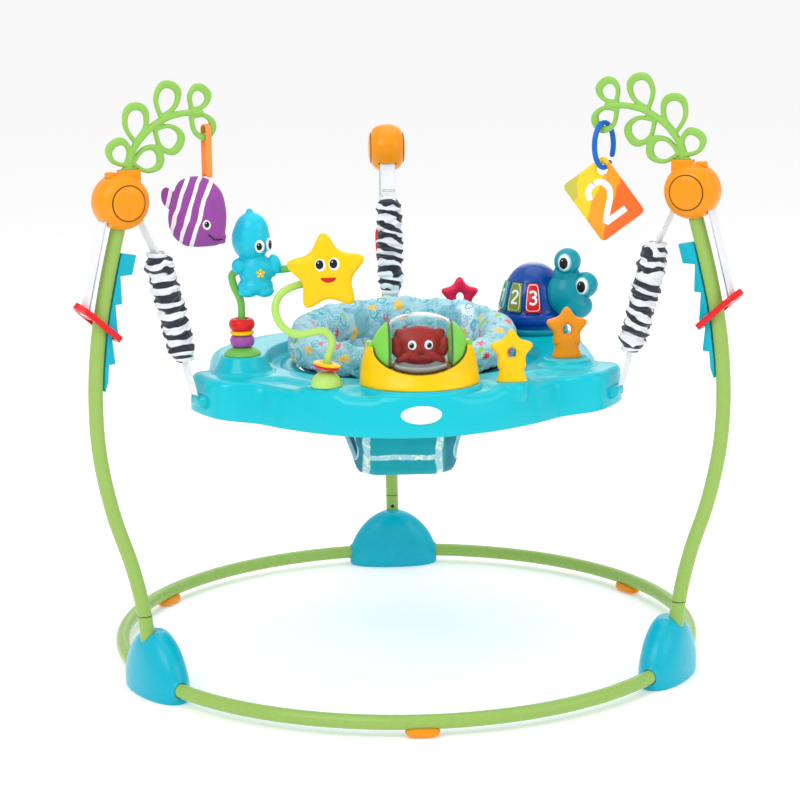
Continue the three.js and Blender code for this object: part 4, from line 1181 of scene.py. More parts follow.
PADDING = {"quality": 6, "mass": 0.25, "tension_stiffness": 18, "compression_stiffness": 18,
           "shear_stiffness": 8, "bending_stiffness": 0.25, "use_pressure": True, "shrink_min": -0.05}
SWELL_FRAMES = 20


def swell(obj, pressure, cap, pinned):
    """Lets a closed piece swell under air pressure, held where pinned, and keeps the result."""
    scene = bpy.context.scene
    start = [v.co.copy() for v in obj.data.vertices]
    held = obj.vertex_groups.new(name="held")
    held.add([v.index for v in obj.data.vertices if pinned(v.co)], 1.0, "REPLACE")
    cloth = obj.modifiers.new("swell", "CLOTH")
    for key, value in PADDING.items():
        setattr(cloth.settings, key, value)
    cloth.settings.uniform_pressure_force = pressure
    cloth.settings.vertex_group_mass = "held"
    cloth.settings.effector_weights.gravity = 0
    cloth.point_cache.frame_start = 1
    cloth.point_cache.frame_end = SWELL_FRAMES
    for step in range(1, SWELL_FRAMES + 1):
        scene.frame_set(step)
    settle(obj)
    scene.frame_set(1)
    for vertex, before in zip(obj.data.vertices, start):
        move = vertex.co - before
        if move.length > cap / 1000:
            vertex.co = before + move.normalized() * cap / 1000
    obj.vertex_groups.clear()


POUCH_LOW, POUCH_TOP, POUCH_HALF, POUCH_TOP_R, LINING_LOW = 281, 444, 85, 155, 404
LEG = {"x": 92, "y": SEAT_Y - 34, "z": 341, "rx": 48, "ry": 46, "rz": 44}


def pouch_point(turn, z, inset=0.0):
    up = (z - POUCH_LOW) / (POUCH_TOP - POUCH_LOW)
    square = (abs(math.cos(turn)) ** 7 + abs(math.sin(turn)) ** 7) ** (-1 / 7)
    low = POUCH_HALF * min(square, 1.18) * (0.82 + 0.18 * min(1, up * 3))
    size = mix(low, POUCH_TOP_R, max(up, 0) ** 2.2) - inset
    size += (1.6 * ripple(turn, 2.2, z / 46) + 1.2 * ripple(turn, 7, z / 130)) * ease((z - POUCH_LOW) / 30)
    return Vector((size * math.cos(turn), size * math.sin(turn) + SEAT_Y, z))


def pouch():
    sides = 144
    turns = [2 * math.pi * k / sides for k in range(sides)]
    rings = []
    for share in (0.02, 0.15, 0.3, 0.45, 0.6, 0.75, 0.88):
        sag = -3.5 * (1 - share ** 2)
        rings.append([Vector((p.x * share, (p.y - SEAT_Y) * share + SEAT_Y, POUCH_LOW + 3.8 + sag))
                      for p in (pouch_point(t, POUCH_LOW) for t in turns)])
    for z in (POUCH_LOW + 4.4, POUCH_LOW + 7, POUCH_LOW + 11):
        rings.append([pouch_point(t, z, (POUCH_LOW + 11 - z) * 0.35) for t in turns])
    rings += [[pouch_point(t, mix(POUCH_LOW + 15, POUCH_TOP, k / 44)) for t in turns] for k in range(45)]
    bag = grid("seat_pouch_cloth", rings, POUCH_CLOTH, caps=False, uv=(0.62, 0.24))
    cloth_skin(bag, 0.0026)
    carve(bag, [leg_ball(side) for side in (-1, 1)])
    fit(bag, "seat", "teal_fabric", "seat_pouch")
    for side, name in ((-1, "left"), (1, "right")):
        fit(sweep(f"leg_binding_{name}", leg_hole_rim(side), 3.4, 2.6, BINDING, closed=True, sides=16),
            "seat", "print_fabric")
    inner_lining()


def leg_ball(side):
    """The ellipsoid that a leg hole is cut with."""
    profile = [(max(math.sin(a), 0.004), -math.cos(a)) for a in [math.pi * k / 24 for k in range(25)]]
    middle = (side * LEG["x"], LEG["y"], LEG["z"])
    return stretched(lathe("leg_hole", profile, SEAM, sides=48), (LEG["rx"], LEG["ry"], LEG["rz"]), middle)


def stretched(obj, scale, move):
    """Scales a shape about the ring's centre and then moves it, in its mesh."""
    for vertex in obj.data.vertices:
        p = (vertex.co - SHIFT) * 1000
        vertex.co = to_row([p[k] * scale[k] + move[k] for k in range(3)])
    return obj


def leg_hole_rim(side):
    """The closed line where the leg's ellipsoid cuts the pouch."""
    points = []
    for c, s in circle(60):
        y, z = LEG["ry"] * c, LEG["rz"] * s
        spot = lambda reach: pouch_at(side, LEG["y"] + y * reach, LEG["z"] + z * reach)
        inside = lambda reach: ((spot(reach).x - side * LEG["x"]) / LEG["rx"]) ** 2 + reach ** 2 < 1
        points.append(spot(bisect(0.02, 1.15, inside)))
    return [sum((points[(k + step) % 60] for step in range(-2, 3)), Vector()) / 5 for k in range(60)]


def pouch_at(side, y, z):
    """The pouch's surface on one side at a given y and height."""
    z = max(z, POUCH_LOW + 3)
    point = lambda turn: pouch_point(turn if side > 0 else math.pi - turn, z)
    return point(bisect(-math.pi / 2, math.pi / 2, lambda turn: point(turn).y < y))


def inner_lining():
    """Printed cloth from the collar's inner seam down into the pouch, in soft vertical folds."""
    sides = 200
    rings = []
    for k in range(21):
        share = k / 20
        z = mix(MOAT_Z + 20, LINING_LOW, share)
        ring = []
        for i in range(sides):
            turn = 2 * math.pi * i / sides
            fold = 1.5 * math.cos(40 * turn + 2 * ripple(turn, 3, 1))
            low = (pouch_point(turn, LINING_LOW) - Vector((0, SEAT_Y, LINING_LOW))).length - 4
            size = mix(COLLAR_IN + 5, low, ease(share)) + fold * (1 - share) - 3 * math.sin(math.pi * share)
            ring.append(Vector((size * math.cos(turn), size * math.sin(turn) + SEAT_Y, z)))
        rings.append(ring)
    lining = grid("seat_lining", rings, PRINT, caps=False, uv=(0.85, 0.065))
    cloth_skin(lining, 0.0012)
    fit(lining, "seat", "print_fabric")


# ---------------------------------------------------------------- bead tube and its toys

WIRE = [(-240, -128, 485), (-240, -128, 510), (-240, -128, 535), (-241, -128, 562), (-250, -128, 584),
        (-252, -128, 600), (-240, -128, 606.5), (-214, -128, 606), (-189, -128, 606), (-160, -150, 612),
        (-132, -196, 619), (-116, -222, 612), (-128, -226, 601), (-156, -232, 600), (-182, -240, 588),
        (-190, -246, 568), (-182, -250, 546), (-162, -253, 533), (-140, -254, 535), (-121, -254, 536),
        (-111, -254, 522), (-117, -254, 500), (-121, -254, 478)]
STAR = {"x": -117, "y": -246, "z": 618, "thick": 24, "reach": 58, "valley": 32, "turn": 94}


def turn_ring(name, loop, material, centre, axis=(0, 0, 1), sides=72):
    """A ring about axis from a closed loop of (radius, height)."""
    turn_to = Vector((0, 0, 1)).rotation_difference(Vector(axis).normalized())
    rings = [[turn_to @ Vector((r * c, r * s, z)) + Vector(centre) for r, z in loop]
             for c, s in circle(sides)]
    return grid(name, rings, material, looped=True)


BEAD_HOLE = 6.5


def bead(name, node, slot, radius, height, centre, material, axis=(0, 0, 1)):
    """A rounded ring; node is both the CAD node and the body that it rides on."""
    middle, half = (radius + BEAD_HOLE) / 2, (radius - BEAD_HOLE) / 2
    loop = [(middle + x, y) for x, y in superellipse_ring(half, height / 2, 2.05, 32)]
    fit(turn_ring(name, loop, material, centre, axis), node, slot, node)


def beads():
    x, y = BEAD_BASE
    bead("bead_bottom_purple", "bead_purple", "purple_plastic", 18, 17, (x, y, 502.8), PURPLE)
    bead("bead_middle_yellow", "bead_yellow", "yellow_plastic", 18, 7, (x, y, 515.1), YELLOW)
    bead("bead_top_red", "bead_red", "red_plastic", 19, 17, (x, y, 527.4), RED)
    lean = math.radians(10)
    axis = Vector((math.sin(lean), 0, math.cos(lean)))
    centre = Vector((-119, -254, 487))
    bead("bead_tilted", "bead_disc", "yellow_plastic", 20, 5, centre + axis * 2.2, YELLOW, axis)
    bead("bead_tilted_red", "bead_disc", "red_plastic", 19, 4.4, centre - axis * 2.3, PINK_RED, axis)
    leaf = [(0.2, 494), (13, 493.6), (19, 491), (24, 487.6), (26.6, 484.4), (27, 482.3)]
    base = lathe("bead_leaf_base", leaf, DEEP_LEAF, centre=(x, y, 0), steps=5)
    fit(base, "tray", "leaf_green_plastic", "bead_base_left")
    dome = [(0.2, 480.2), (6, 479.4), (12, 477), (17, 472.6), (20.5, 467), (22.3, 460.5), (22.5, 458.3)]
    base = lathe("bead_dome_base", dome, PALE_LEAF, centre=(*DOME_BASE, 0), steps=4)
    fit(base, "tray", "leaf_green_plastic", "bead_base_front")
    tube = sweep("bent_bead_tube", smooth_path(WIRE, 14), 5.5, 5.5, [DEEP_LEAF, STRAND], sides=28,
                 slots=lambda v, u: 0 if v < 0.47 else 1)
    fit(tube, "tray", "leaf_green_plastic", "bead_tube")


def star_outline(reach, valley, turn):
    """A star with fat rounded points; its valleys are eased a little."""
    steps, points = 16, 5
    control = 2 * reach - valley * math.cos(math.pi / points)
    corner = lambda i, size: Vector((size * math.cos(math.radians(turn + 180 / points * i)),
                                     size * math.sin(math.radians(turn + 180 / points * i))))
    outline = []
    for i in range(points):
        a, b, c = corner(2 * i - 1, valley), corner(2 * i, control), corner(2 * i + 1, valley)
        outline += [a.lerp(b, k / steps).lerp(b.lerp(c, k / steps), k / steps) for k in range(steps)]
    for _ in range(5):
        outline = [(outline[i - 1] + outline[i] * 2 + outline[(i + 1) % len(outline)]) / 4
                   for i in range(len(outline))]
    return outline


def pillow(name, outline, half_thick, place, material, hole=None, square=3.2, rim=0.0):
    """A puffed plate from an outline; place() sets (across, up, depth) in space. hole is the half
    width, half height and middle height of an oval hole."""
    rings = []
    levels = 14
    for side in (1, -1):
        shares = [1 - (1 - k / levels) ** 1.7 for k in range(levels + 1)]
        shares = shares if side > 0 else shares[::-1][1:-1] if hole else shares[::-1][1:]
        for share in shares:
            share = max(share, 0.015)
            across = abs(2 * share - 1) if hole else share
            lip = rim * math.exp(-((share - 0.13) / 0.1) ** 2)
            depth = side * (half_thick * (1 - across ** square) ** (1 / square) + lip)
            ring = []
            for p in outline:
                if hole:
                    a = math.atan2((p.y - hole[2]) / hole[1], p.x / hole[0])
                    start = Vector((hole[0] * math.cos(a), hole[1] * math.sin(a) + hole[2]))
                    spot = start.lerp(p, share)
                else:
                    spot = p * share
                ring.append(place(spot.x, spot.y, depth))
            rings.append(ring)
    return grid(name, rings, material, looped=bool(hole))


def star_figure():
    place = lambda u, w, d: (STAR["x"] + u, STAR["y"] - d, STAR["z"] + w)
    outline = star_outline(STAR["reach"], STAR["valley"], STAR["turn"])
    body = pillow("star_body", outline, STAR["thick"] / 2, place, YELLOW, square=2.6)
    boss = lathe("star_boss", [(0.2, 11), (13, 11), (15, 9), (15, -11)], YELLOW, centre=(-123, -226, 615),
                 axis=(0, 1, 0))
    fit(join("smiling_star", [body, boss]), "tray", "yellow_plastic", "star_figure")
    face = STAR["y"] - 11.6
    eyes = [eye("star_eye", spot, (0, -1, 0.1), 7.7, 9, gaze=(0.4, 0.2), pupil=0.74)
            for spot in ((-125.5, face, 631), (-106, face, 632))]
    mouth = smile("star_smile", (-114.5, face - 0.2, 613), 11, 7)
    fit(join("star_face", eyes + [mouth]), "tray", "yellow_plastic")


def eye(name, centre, axis, half_width, half_height, gaze=(0, 0), pupil=0.62, lift=2.2, white=None):
    """An oval white with a black pupil and a small glint, domed out along axis."""
    axis = Vector(axis).normalized()
    right = Vector((0, 0, 1)).cross(axis).normalized() * -1
    up = axis.cross(right) * -1
    if up.z < 0:
        up = -up
    wide, tall = right * half_width, up * half_height

    def cap(middle, across, along, base, height, material):
        rings = []
        for share in [max(k / 14, 0.01) for k in range(15)]:
            dome = base + height * math.sqrt(max(1 - share ** 2, 0))
            rings.append([middle + across * share * c + along * share * s + axis * dome
                          for c, s in circle(40)])
        rings.append([p - axis * (base + 2.5) for p in rings[-1]])
        return grid(name, rings, material)

    centre = Vector(centre)
    ball = cap(centre, wide, tall, 0, lift, white or WHITE)
    centre += (wide * gaze[0] + tall * gaze[1]) * (1 - pupil)
    black = cap(centre, wide * pupil, tall * pupil, lift * 0.62, lift * 0.62, BLACK)
    spark = centre + wide * pupil * 0.3 + tall * pupil * 0.4
    glint = cap(spark, wide * 0.13, up * half_width * 0.13, lift * 1.08, 0.3, WHITE)
    return join(name, [ball, black, glint])


def smile(name, centre, half_width, depth, material=None):
    """An open smile: a half-moon, flat on top, facing -Y."""
    x, y, z = centre
    outline = [(half_width * math.cos(a), depth * math.sin(a)) for a in
               [math.pi + math.pi * k / 20 for k in range(21)]]
    outline += [(half_width * (1 - k / 8), 1.2 * math.sin(math.pi * k / 8) - 1.2) for k in range(1, 16)]
    rings = [[(x + u * s, y + d, z + w * s) for u, w in outline]
             for s, d in ((1, 2.5), (1, -0.1), (0.93, -0.7), (0.05, -0.8))]
    return grid(name, rings, material or SMILE)


def ellipsoid(name, centre, radii, material=None, turn=None):
    rings = []
    for a in [math.pi * k / 24 for k in range(25)]:
        size = max(math.sin(a), 0.004)
        ring = [Vector((radii[0] * size * c, radii[1] * size * s, -radii[2] * math.cos(a)))
                for c, s in circle(40)]
        rings.append([Vector(centre) + (turn @ p if turn else p) for p in ring])
    return grid(name, rings, material or SKY)


def tilt(axis, degrees):
    return Matrix.Rotation(math.radians(degrees), 3, axis)


def sea_figure():
    x, y, z = -222.5, -128, 606
    parts = [ellipsoid("head", (x - 1, y, z + 46), (28, 25, 33)),
             ellipsoid("brow", (x, y, z + 57), (25, 23, 28)),
             ellipsoid("body", (x + 5, y, z), (26, 20, 26)),
             ellipsoid("belly", (x + 4, y - 2, z - 22), (26, 20, 14)),
             sweep("neck", [(x - 13, y, z), (x + 33.5, y, z)], 9.5, 9.5, SKY, sides=32),
             ellipsoid("knob", (x - 2, y, z + 84), (5.4, 5.4, 7)),
             ellipsoid("raised_arm", (x + 33, y - 8, z + 10), (9, 8, 15), turn=tilt("Y", -16)),
             ellipsoid("arm", (x - 19, y - 10, z + 8), (11, 10, 12)),
             ellipsoid("foot", (x - 7, y - 4, z - 30), (15, 16, 9)),
             ellipsoid("foot", (x + 17, y - 4, z - 30), (14, 16, 9))]
    body = meld("rocking_figure", parts, 1.4, 6, SKY)
    fit(body, "sea_figure", "sky_blue_plastic", "sea_figure")
    face = [eye("figure_eye", (x + 12, y - 23.6, z + 38), (0.35, -1, 0.04), 7.2, 9.2, gaze=(0.4, 0)),
            eye("figure_eye", (x + 25.6, y - 12, z + 39), (0.95, -0.6, 0.04), 5.8, 9.2, gaze=(0.2, 0),
                pupil=0.72)]
    for c, s in circle(5):
        place = (x + 12 - 4.4 * s, y - 20.4, z - 2 + 4.4 * c)
        face.append(ellipsoid("petal", place, (2.4, 1.2, 2.4), YELLOW))
    face.append(ellipsoid("flower_heart", (x + 12, y - 21.2, z - 2), (2.0, 1.2, 2.0), WHITE))
    fit(join("figure_face", face), "sea_figure", "sky_blue_plastic")


# ---------------------------------------------------------------- crab roller

def barrel(along, extra=0):
    """The roller's radius at a distance along it, or that of a barrel a little larger."""
    share = along / (BARREL_HALF + extra)
    return (BARREL_RADIUS + extra) * math.sqrt(max(1 - share * share, 0.0001))


def barrel_line(start, end, extra=0, steps=20):
    spots = [mix(start, end, k / steps) for k in range(steps + 1)]
    return [(barrel(a, extra), a) for a in spots]


def cradle_front(dx, z):
    """How far the cradle's bowed front stands before the roller's axis; it leans back a little."""
    return 70 * math.sqrt(max(0, 1 - (dx / 86.5) ** 2)) - 20 - 11 * ease((z - DECK_Z) / 26)


HORN_IN, HORN_OUT, HORN_TOP = 66.5, 73, 515.5
CRADLE_SIDE = [(HORN_IN, HORN_TOP), (HORN_OUT, HORN_TOP), (75, 512), (79.6, 496), (83.6, 476), (85.1, 459.4)]


def cradle_top(across):
    """Height of the cradle's upper edge: a sagging arc between two horns, then the outer slopes."""
    across = abs(across)
    if across <= HORN_IN:
        return HORN_TOP - 37 * (1 - (across / HORN_IN) ** 2) ** 0.45
    for (a, low), (b, high) in zip(CRADLE_SIDE, CRADLE_SIDE[1:]):
        if across <= b:
            return mix(low, high, (across - a) / (b - a))
    return CRADLE_SIDE[-1][1]


def housing():
    x, y, _ = ROLLER
    low, rows = DECK_Z + 0.4, 16
    steps = [85 * math.sin(math.pi / 2 * k / 60) for k in range(-60, 61)]
    spots = sorted(set(round(u, 3) for u in steps + [-HORN_OUT, -HORN_IN, HORN_IN, HORN_OUT]))
    rings = []
    for u in spots:
        top = cradle_top(u)
        front, back = [], []
        for k in range(rows + 1):
            height = mix(low, top, 1 - (1 - k / rows) ** 1.6)
            near = max(0, 1 - (top - height) / 2.4)
            inset = 1.8 * (1 - math.sqrt(1 - near ** 2))
            front.append((x + u, y - cradle_front(abs(u), height) + inset, height))
            back.append((x + u, y + 47 - inset, height))
        rings.append(front + back[::-1])
    cradle = grid("roller_cradle", rings, YELLOW)
    ends = BARREL_HALF + 1.5
    room = [(0.2, -ends)] + barrel_line(-ends, ends, 1.7, 48) + [(0.2, ends)]
    carve(cradle, [lathe("drum_room", room, SEAM, centre=ROLLER, axis=(1, 0, 0), sides=96)])
    fit(cradle, "tray", "yellow_plastic", "roller_housing")


def drum():
    x, y, z = ROLLER
    loop = barrel_line(-WINDOW_HALF, WINDOW_HALF) + barrel_line(WINDOW_HALF, -WINDOW_HALF, -2.4)
    window = turn_ring("clear_window", loop, CLEAR, ROLLER, axis=(1, 0, 0), sides=128)
    fit(window, "roller", "clear_plastic", "roller_window")
    inside = barrel(WINDOW_HALF) - 7
    half = [(4, WINDOW_HALF - 4), (inside, WINDOW_HALF - 4), (inside, WINDOW_HALF + 0.3)]
    half += barrel_line(WINDOW_HALF + 0.3, BARREL_HALF - 0.4, 0, 24)
    half += [(5.4, BARREL_HALF), (5.4, 74), (0.3, 74)]
    full = [(r, -a) for r, a in half[::-1]] + half
    caps = lathe("drum_caps", full, DRUM_GREEN, centre=ROLLER, axis=(1, 0, 0), sides=96)
    fit(caps, "roller", "leaf_green_plastic", "roller_caps")
    rims = []
    for side in (-1, 1):
        loop = [(barrel(WINDOW_HALF) - 0.4 + a, side * WINDOW_HALF + b)
                for a, b in superellipse_ring(1.1, 1.5, 3, 12)]
        rims.append(turn_ring("rim", loop, GREY, ROLLER, axis=(1, 0, 0), sides=96))
    fit(join("window_rims", rims), "roller", "clear_plastic")
    floor_rings = []
    for i in range(13):
        across = mix(-36, 36, i / 12)
        outer, inner = barrel(across) - 3.2, barrel(across) - 6.2
        floor_rings.append([(x + across, y + r * math.cos(a), z + r * math.sin(a))
                            for r, a in [(outer, math.radians(217 + 6 * k)) for k in range(16)]
                            + [(inner, math.radians(307 - 5 * k)) for k in range(16)]])
    fit(grid("drum_inner_floor", floor_rings, PALE_GREY), "roller", "clear_plastic")


def crab():
    x, y, z = ROLLER
    parts = [ellipsoid("shell", (x, y, z), (38, 18, 27)),
             ellipsoid("brow", (x, y - 8, z + 2), (29, 13, 18)),
             ellipsoid("belly", (x, y - 5, z - 13), (33, 15, 15))]
    face = []
    for side in (-1, 1):
        parts += [ellipsoid("shoulder", (x + side * 28, y - 3, z + 16), (8, 7, 8)),
                  ellipsoid("arm", (x + side * 34, y - 6, z - 2), (7, 8, 15), turn=tilt("Y", side * 8)),
                  ellipsoid("claw", (x + side * 23, y - 15, z - 15), (14, 7, 6), turn=tilt("Y", side * 28))]
        spot = (x + side * 11.5, y - 20.4, z + 3)
        face.append(eye("crab_eye", spot, (0, -1, 0.15), 6, 6.6, gaze=(side * -0.3, -0.2)))
    face.append(smile("crab_smile", (x, y - 22.4, z - 8), 4.5, 2.6, SEAM))
    body = meld("drum_crab", parts, 1.1, 5, CRAB)
    fit(body, "roller", "red_plastic", "roller_crab")
    fit(join("crab_face", face), "roller", "red_plastic")


# ---------------------------------------------------------------- star pegs

PEG_MIDDLE, PEG_HOLE = 43.5, (5.7, 7.5)


def star_peg(name, node, centre, base, material, slot):
    x, y = centre
    outline = star_outline(32, 19, 90)
    place = lambda u, w, d: (x + u, y - d, base + PEG_MIDDLE + w)
    star = pillow(name, outline, 8.6, place, material, hole=(*PEG_HOLE, -2), square=2.4, rim=1.0)
    trunk_levels = smooth_path([(21.6, 0.3, 0), (21.6, 2.5, 0), (20.4, 6.5, 0), (18.2, 13, 0), (18, 22, 0),
                                (16.6, 30, 0), (13, 34, 0)], 4)
    rings = [[(x + u, y + v, base + level.y) for u, v in superellipse_ring(level.x, level.x * 0.52, 2.3, 48)]
             for level in trunk_levels]
    trunk = grid("trunk", rings, material)
    bore = lathe("finger_bore", [(0.2, -30), (1, -30), (1, 30), (0.2, 30)], SEAM, sides=48, axis=(0, 1, 0))
    carve(trunk, [stretched(bore, (PEG_HOLE[0], 1, PEG_HOLE[1]), (x, y, base + PEG_MIDDLE - 2))])
    fit(join(name, [star, trunk]), "tray", slot, node)


def star_pegs():
    star_peg("yellow_star_peg", "star_peg_yellow", YELLOW_PEG, DECK_Z, YELLOW, "yellow_plastic")
    star_peg("orange_star_peg", "star_peg_orange", ORANGE_PEG, DECK_Z + RISE, ORANGE, "orange_plastic")
    star_peg("red_star_peg", "star_peg_red", RED_PEG, DECK_Z, PINK_RED, "red_plastic")


# ---------------------------------------------------------------- turtle piano

KEY_TURNS = (-165, -131, -97)
KEY_R, KEY_Z, KEY_LEAN = 47.5, 522, 14
DIGITS = {
    "1": [[(-2.6, 4.6), (0.4, 7.4), (0.4, -7.4)]],
    "2": [[(-3.9, 4.2), (-2.6, 6.8), (0.4, 7.5), (3.2, 6.2), (3.8, 3.4), (2.2, 0.4), (-1.4, -3.6),
           (-4, -7.3)], [(-4, -7.3), (4.2, -7.3)]],
    "3": [[(-3.8, 6.2), (-0.6, 7.6), (3, 6.2), (3.5, 3.2), (1.6, 0.8), (-0.8, 0.5)],
          [(-0.8, 0.5), (2.6, -0.4), (4, -3.4), (2.6, -6.6), (-0.6, -7.7), (-4, -6.2)]],
}


def key_point(angle, across, up, out):
    """A point on a key's face, in the turtle's frame."""
    local = Matrix.Rotation(math.radians(-KEY_LEAN), 3, "X") @ Vector((across, -3 - out, up))
    local += Vector((0, -KEY_R, KEY_Z))
    turned_to = Matrix.Rotation(math.radians(angle + 90), 3, "Z") @ local
    return turned_to + Vector((*TURTLE, 0))


def keys():
    looks = ((KEY_GREEN, "key_green_plastic"), (KEY_OLIVE, "key_olive_plastic"), (RED, "key_red_plastic"))
    for number, (angle, (material, slot)) in enumerate(zip(KEY_TURNS, looks), 1):
        fit(bevelled(f"piano_key_{number}", f"turtle_key_{number}", material, 1.4), f"key_{number}", slot)
        outline = [key_point(angle, u * mix(11.2, 7.6, (w + 1) / 2), w * 20.6, 0.2)
                   for u, w in superellipse_ring(1, 1, 5, 64)]
        strokes = [sweep("outline", outline, 1.2, 0.35, WHITE, closed=True, sides=10)]
        for stroke in DIGITS[str(number)]:
            path = smooth_path([key_point(angle, u * 1.25, w * 1.3, 0.5) for u, w in stroke], 4)
            strokes.append(sweep("digit", path, 0.5, 1.9, WHITE, sides=12, rounded_ends=True,
                                 across=key_point(angle, 0, 0, 1) - key_point(angle, 0, 0, 0)))
        fit(join(f"key_print_{number}", strokes), f"key_{number}", slot)


def turtle():
    low = DECK_Z + RISE + 0.35
    profile = [(0.3, 102), (13, 101), (28, 93), (42, 74.5), (49, 56), (51, 42), (52, 33), (53.5, 29),
               (57, 26), (57.6, 22), (57.6, 16), (56, 13), (51.5, 10.5), (50.5, 6), (50.5, 0.2)]
    shell = lathe("turtle_dome", profile, DARK_BLUE, centre=(*TURTLE, low), steps=6, sides=128)
    corners = [(-13.1, -23.6), (13.1, -23.6), (9.1, 23.6), (-9.1, 23.6)]
    carve(shell, [block("key_pocket", [key_point(angle, u, w, out) for out in (-9, 30) for u, w in corners])
                  for angle in KEY_TURNS])
    fit(shell, "tray", "dark_blue_plastic", "turtle_shell")
    base = disc("turtle_base_ring", TURTLE, 54, DECK_Z + 5, DECK_Z + RISE + 4, 3, SKY_TEAL)
    fit(base, "tray", "teal_plastic")
    turtle_head()
    keys()


def turtle_head():
    x, y = TURTLE
    parts = [ellipsoid("skull", (x + 50, y - 38, 527), (34, 30, 36)),
             ellipsoid("cheek", (x + 58, y - 44, 508), (30, 24, 22)),
             ellipsoid("neck", (x + 47, y - 40, 556), (21, 20, 22)),
             ellipsoid("eye_bulb", (x + 48, y - 48, 579), (21, 20, 21)),
             ellipsoid("eye_bulb", (x + 75, y - 50, 542), (20.5, 20, 20.5))]
    head = meld("turtle_head_skin", parts, 1.4, 5, SKY_TEAL)
    fit(head, "tray", "teal_plastic", "turtle_head")
    look = Vector((-0.42, -1, 0.10)).normalized()
    face = []
    for centre in ((x + 48, y - 48, 578), (x + 75, y - 50, 541)):
        spot = Vector(centre) + look * 18.6
        face.append(eye("turtle_eye_rim", spot - look * 0.9, look, 11.2, 14.2, pupil=0.3, white=RIM_BLUE))
        face.append(eye("turtle_eye", spot, look, 9.4, 12.4, gaze=(0.2, -0.3), pupil=0.74, lift=3.2))
    fit(join("turtle_eyes", face), "tray", "teal_plastic")


# ---------------------------------------------------------------- toys on the arms

def fish():
    x, y, z = FISH
    place = lambda u, w, d: (x + u, y - d, z + w)
    outline = [p.xy for p in smooth_path([(*p, 0) for p in FISH_OUTLINE], 8, closed=True)]
    parts = [pillow("trunk", outline, 17, place, FISH_SKIN, square=2.3),
             ellipsoid("tail", (x - 49, y, z + 20), (10, 5, 16), turn=tilt("Y", -12)),
             ellipsoid("fin", (x - 18, y - 15, z - 18), (7, 4, 10), turn=tilt("Y", 24)),
             ellipsoid("lip", (x + 27, y - 4, z - 36), (6, 7, 4)),
             ellipsoid("lip", (x + 26, y - 4, z - 43), (5.6, 6.5, 4))]
    body = meld("striped_fish", parts, 1.5, 6, FISH_SKIN)
    fit(body, "fish", "purple_plastic", "fish_toy")
    face = [eye("fish_eye", (x + 6, y - 15.4, z - 17), (0.15, -1, 0), 6.4, 7.8, gaze=(0.2, 0))]
    mouth = [(x + 8, y - 14.4, z - 32), (x + 16, y - 13.2, z - 39.4), (x + 25, y - 9.6, z - 39.6),
             (x + 31, y - 6, z - 39)]
    face.append(sweep("fish_mouth", smooth_path(mouth, 6), 0.9, 0.9, BLACK, sides=10, rounded_ends=True))
    fit(join("fish_face", face), "fish", "purple_plastic")
    fish_strap()


def fish_strap():
    """The loop of webbing that the fish hangs on, over the arm's last stretch."""
    angle = STATIONS["left"]
    loop = [(7.6, 747)] + [(7.6, mix(752, 813, k / 8)) for k in range(9)]
    for a in [math.radians(15 * k) for k in range(1, 12)]:
        loop.append((7.75 * math.cos(a), 813.6 + 7.75 * math.sin(a)))
    loop += [(-7.6, mix(813, 752, k / 8)) for k in range(9)] + [(-7.6, 747)]
    path = [spin((326, side, height), angle) for side, height in loop]
    strap = sweep("fish_loop_strap", path, 4.4, 0.9, ORANGE_WEB, across=spin((1, 0, 0), angle), square=5,
                  uv=(0.02, 0.15))
    fit(strap, "fish", "orange_webbing", "fish_strap")


def link_and_card():
    cx, cy = CARD_CENTRE.x, CARD_CENTRE.y
    turn = math.radians(40)
    path = []
    for k in range(61):
        a = math.radians(mix(-28, 306, k / 60))
        path.append((cx + 20 * math.cos(a) * math.cos(turn), cy + 20 * math.cos(a) * math.sin(turn),
                     782 + 32 * math.sin(a)))
    link = sweep("blue_link", path, 3.9, 3.9, LINK_BLUE, sides=24, rounded_ends=True,
                 across=(-math.sin(turn), math.cos(turn), 0))
    fit(link, "link", "dark_blue_plastic", "toy_link")
    card = bevelled("wavy_card", "number_card", CARD_PRINT, 1.2)
    fit(card, "card", "card_print")
    normal = CARD_U.cross(CARD_W)
    front = normal if normal.y < 0 else -normal
    spot = lambda u, w: CARD_CENTRE + CARD_U * u + CARD_W * w + front * 2.15
    two = [(-17, 13), (-12, 24), (0, 28), (12, 24), (16, 12), (10, 0), (-4, -13), (-18, -27)]
    stroke = lambda path, wide, thick, across: sweep("digit", path, wide, thick, WHITE, sides=16,
                                                     across=across, rounded_ends=True)
    curve = smooth_path([spot(u, w - 3) for u, w in two], 6)
    base = [spot(u, -30) for u in (-18, 0, 18)]
    strokes = [stroke(curve, 4.6, 0.8, front.cross(CARD_W)), stroke(base, 0.8, 4.6, front)]
    fit(join("card_number", strokes), "card", "card_print")
    rim = [CARD_CENTRE + CARD_U * (23.5 + 10.6 * c) + CARD_W * (35 + 10.6 * s) for c, s in circle(40)]
    eyelet = sweep("card_eyelet", rim, 1.2, 2.6, CARD_PRINT, closed=True, across=front, sides=12)
    fit(eyelet, "card", "card_print")


# ---------------------------------------------------------------- floor, light and camera

FLOOR_HALF = 80
# Soft lamps: place in metres, width and power.
LAMPS = {
    "key": ((-1.6, -2.4, 2.9), 2.2, 48),
    "fill": ((2.6, -1.9, 1.9), 2.0, 18),
    "top": ((0.2, 0.3, 3.4), 2.6, 26),
    "rear": ((0.6, 3.2, 2.2), 2.4, 16),
}
# The camera: millimetres from the point it aims at, degrees up, round and over, and its lens.
CAMERA = {"distance": 3507.68, "height": 11.918, "swing": -2.726, "roll": -0.785, "aim": 381.36,
          "lens": 103.07}


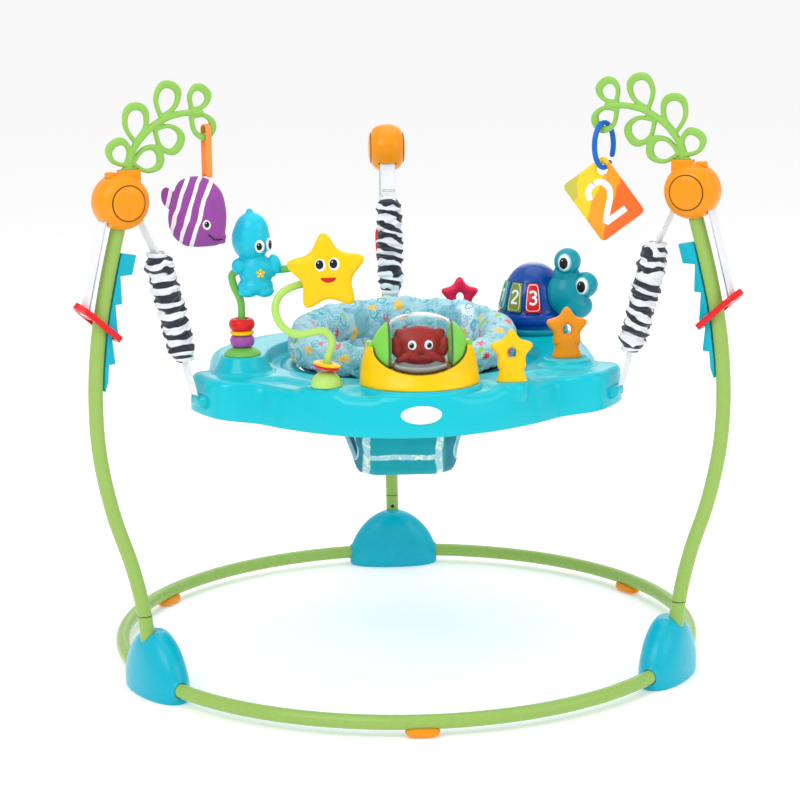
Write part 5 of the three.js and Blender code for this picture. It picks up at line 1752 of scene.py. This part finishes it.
def floor_and_light():
    mesh = bpy.data.meshes.new("studio_floor")
    corners = [(x * FLOOR_HALF, y * FLOOR_HALF, 0) for x, y in ((-1, -1), (1, -1), (1, 1), (-1, 1))]
    mesh.from_pydata(corners, [], [(0, 1, 2, 3)])
    plane = add_object("studio_floor", mesh)
    material = Nodes("studio_white", (0.95, 0.95, 0.95), 0.7)
    material.feed(material.shader, {"Emission Color": (1, 1, 1), "Emission Strength": 0.18})
    material.rough(material.spread(material.noise(material.place(), 3, 2), 0.66, 0.78))
    mesh.materials.append(material.material)
    world = bpy.data.worlds.new("studio")
    bpy.context.scene.world = world
    world.use_nodes = True
    tree = world.node_tree
    path = tree.nodes.new("ShaderNodeLightPath")
    strength = tree.nodes.new("ShaderNodeMapRange")
    strength.inputs["To Min"].default_value = 0.8
    strength.inputs["To Max"].default_value = 1.0
    tree.links.new(path.outputs["Is Camera Ray"], strength.inputs["Value"])
    tree.links.new(strength.outputs["Result"], tree.nodes["Background"].inputs["Strength"])
    tree.nodes["Background"].inputs["Color"].default_value = (1, 1, 1, 1)
    for name, (place, size, watts) in LAMPS.items():
        light = bpy.data.lights.new(name, "AREA")
        light.energy = watts
        light.size = size
        lamp = add_object(name, light)
        lamp.location = place
        lamp.rotation_euler = (Vector((0, 0, 0.45)) - Vector(place)).to_track_quat("-Z", "Y").to_euler()


def camera():
    """A long lens a little above the tray, looking straight at its front."""
    height, swing, roll = [math.radians(CAMERA[key]) for key in ("height", "swing", "roll")]
    level = math.cos(height)
    back = Vector((math.sin(swing) * level, -math.cos(swing) * level, math.sin(height)))
    right = (-back).cross(Vector((0, 0, 1))).normalized()
    up = right.cross(-back)
    level_right = right * math.cos(roll) + up * math.sin(roll)
    level_up = up * math.cos(roll) - right * math.sin(roll)
    eye_place = to_row(Vector((0, 0, CAMERA["aim"])) + back * CAMERA["distance"])
    lens = bpy.data.cameras.new("camera")
    lens.sensor_width = 36
    lens.lens = CAMERA["lens"]
    lens.shift_x = -0.0038
    view = add_object("camera", lens)
    axes = (level_right, level_up, back, eye_place)
    view.matrix_world = Matrix([[axis[row] for axis in axes] for row in range(3)] + [[0, 0, 0, 1]])
    bpy.context.scene.camera = view
    bpy.context.scene.view_settings.view_transform = "Standard"


for build in (camera, floor_and_light, base_tubes, feet, posts, hubs, racks_and_clips, straps, coils,
              sleeves, leaf_arms, tray, badge, collar, pouch, beads, star_figure, sea_figure, housing,
              drum, crab, star_pegs, turtle, fish, link_and_card):
    build()
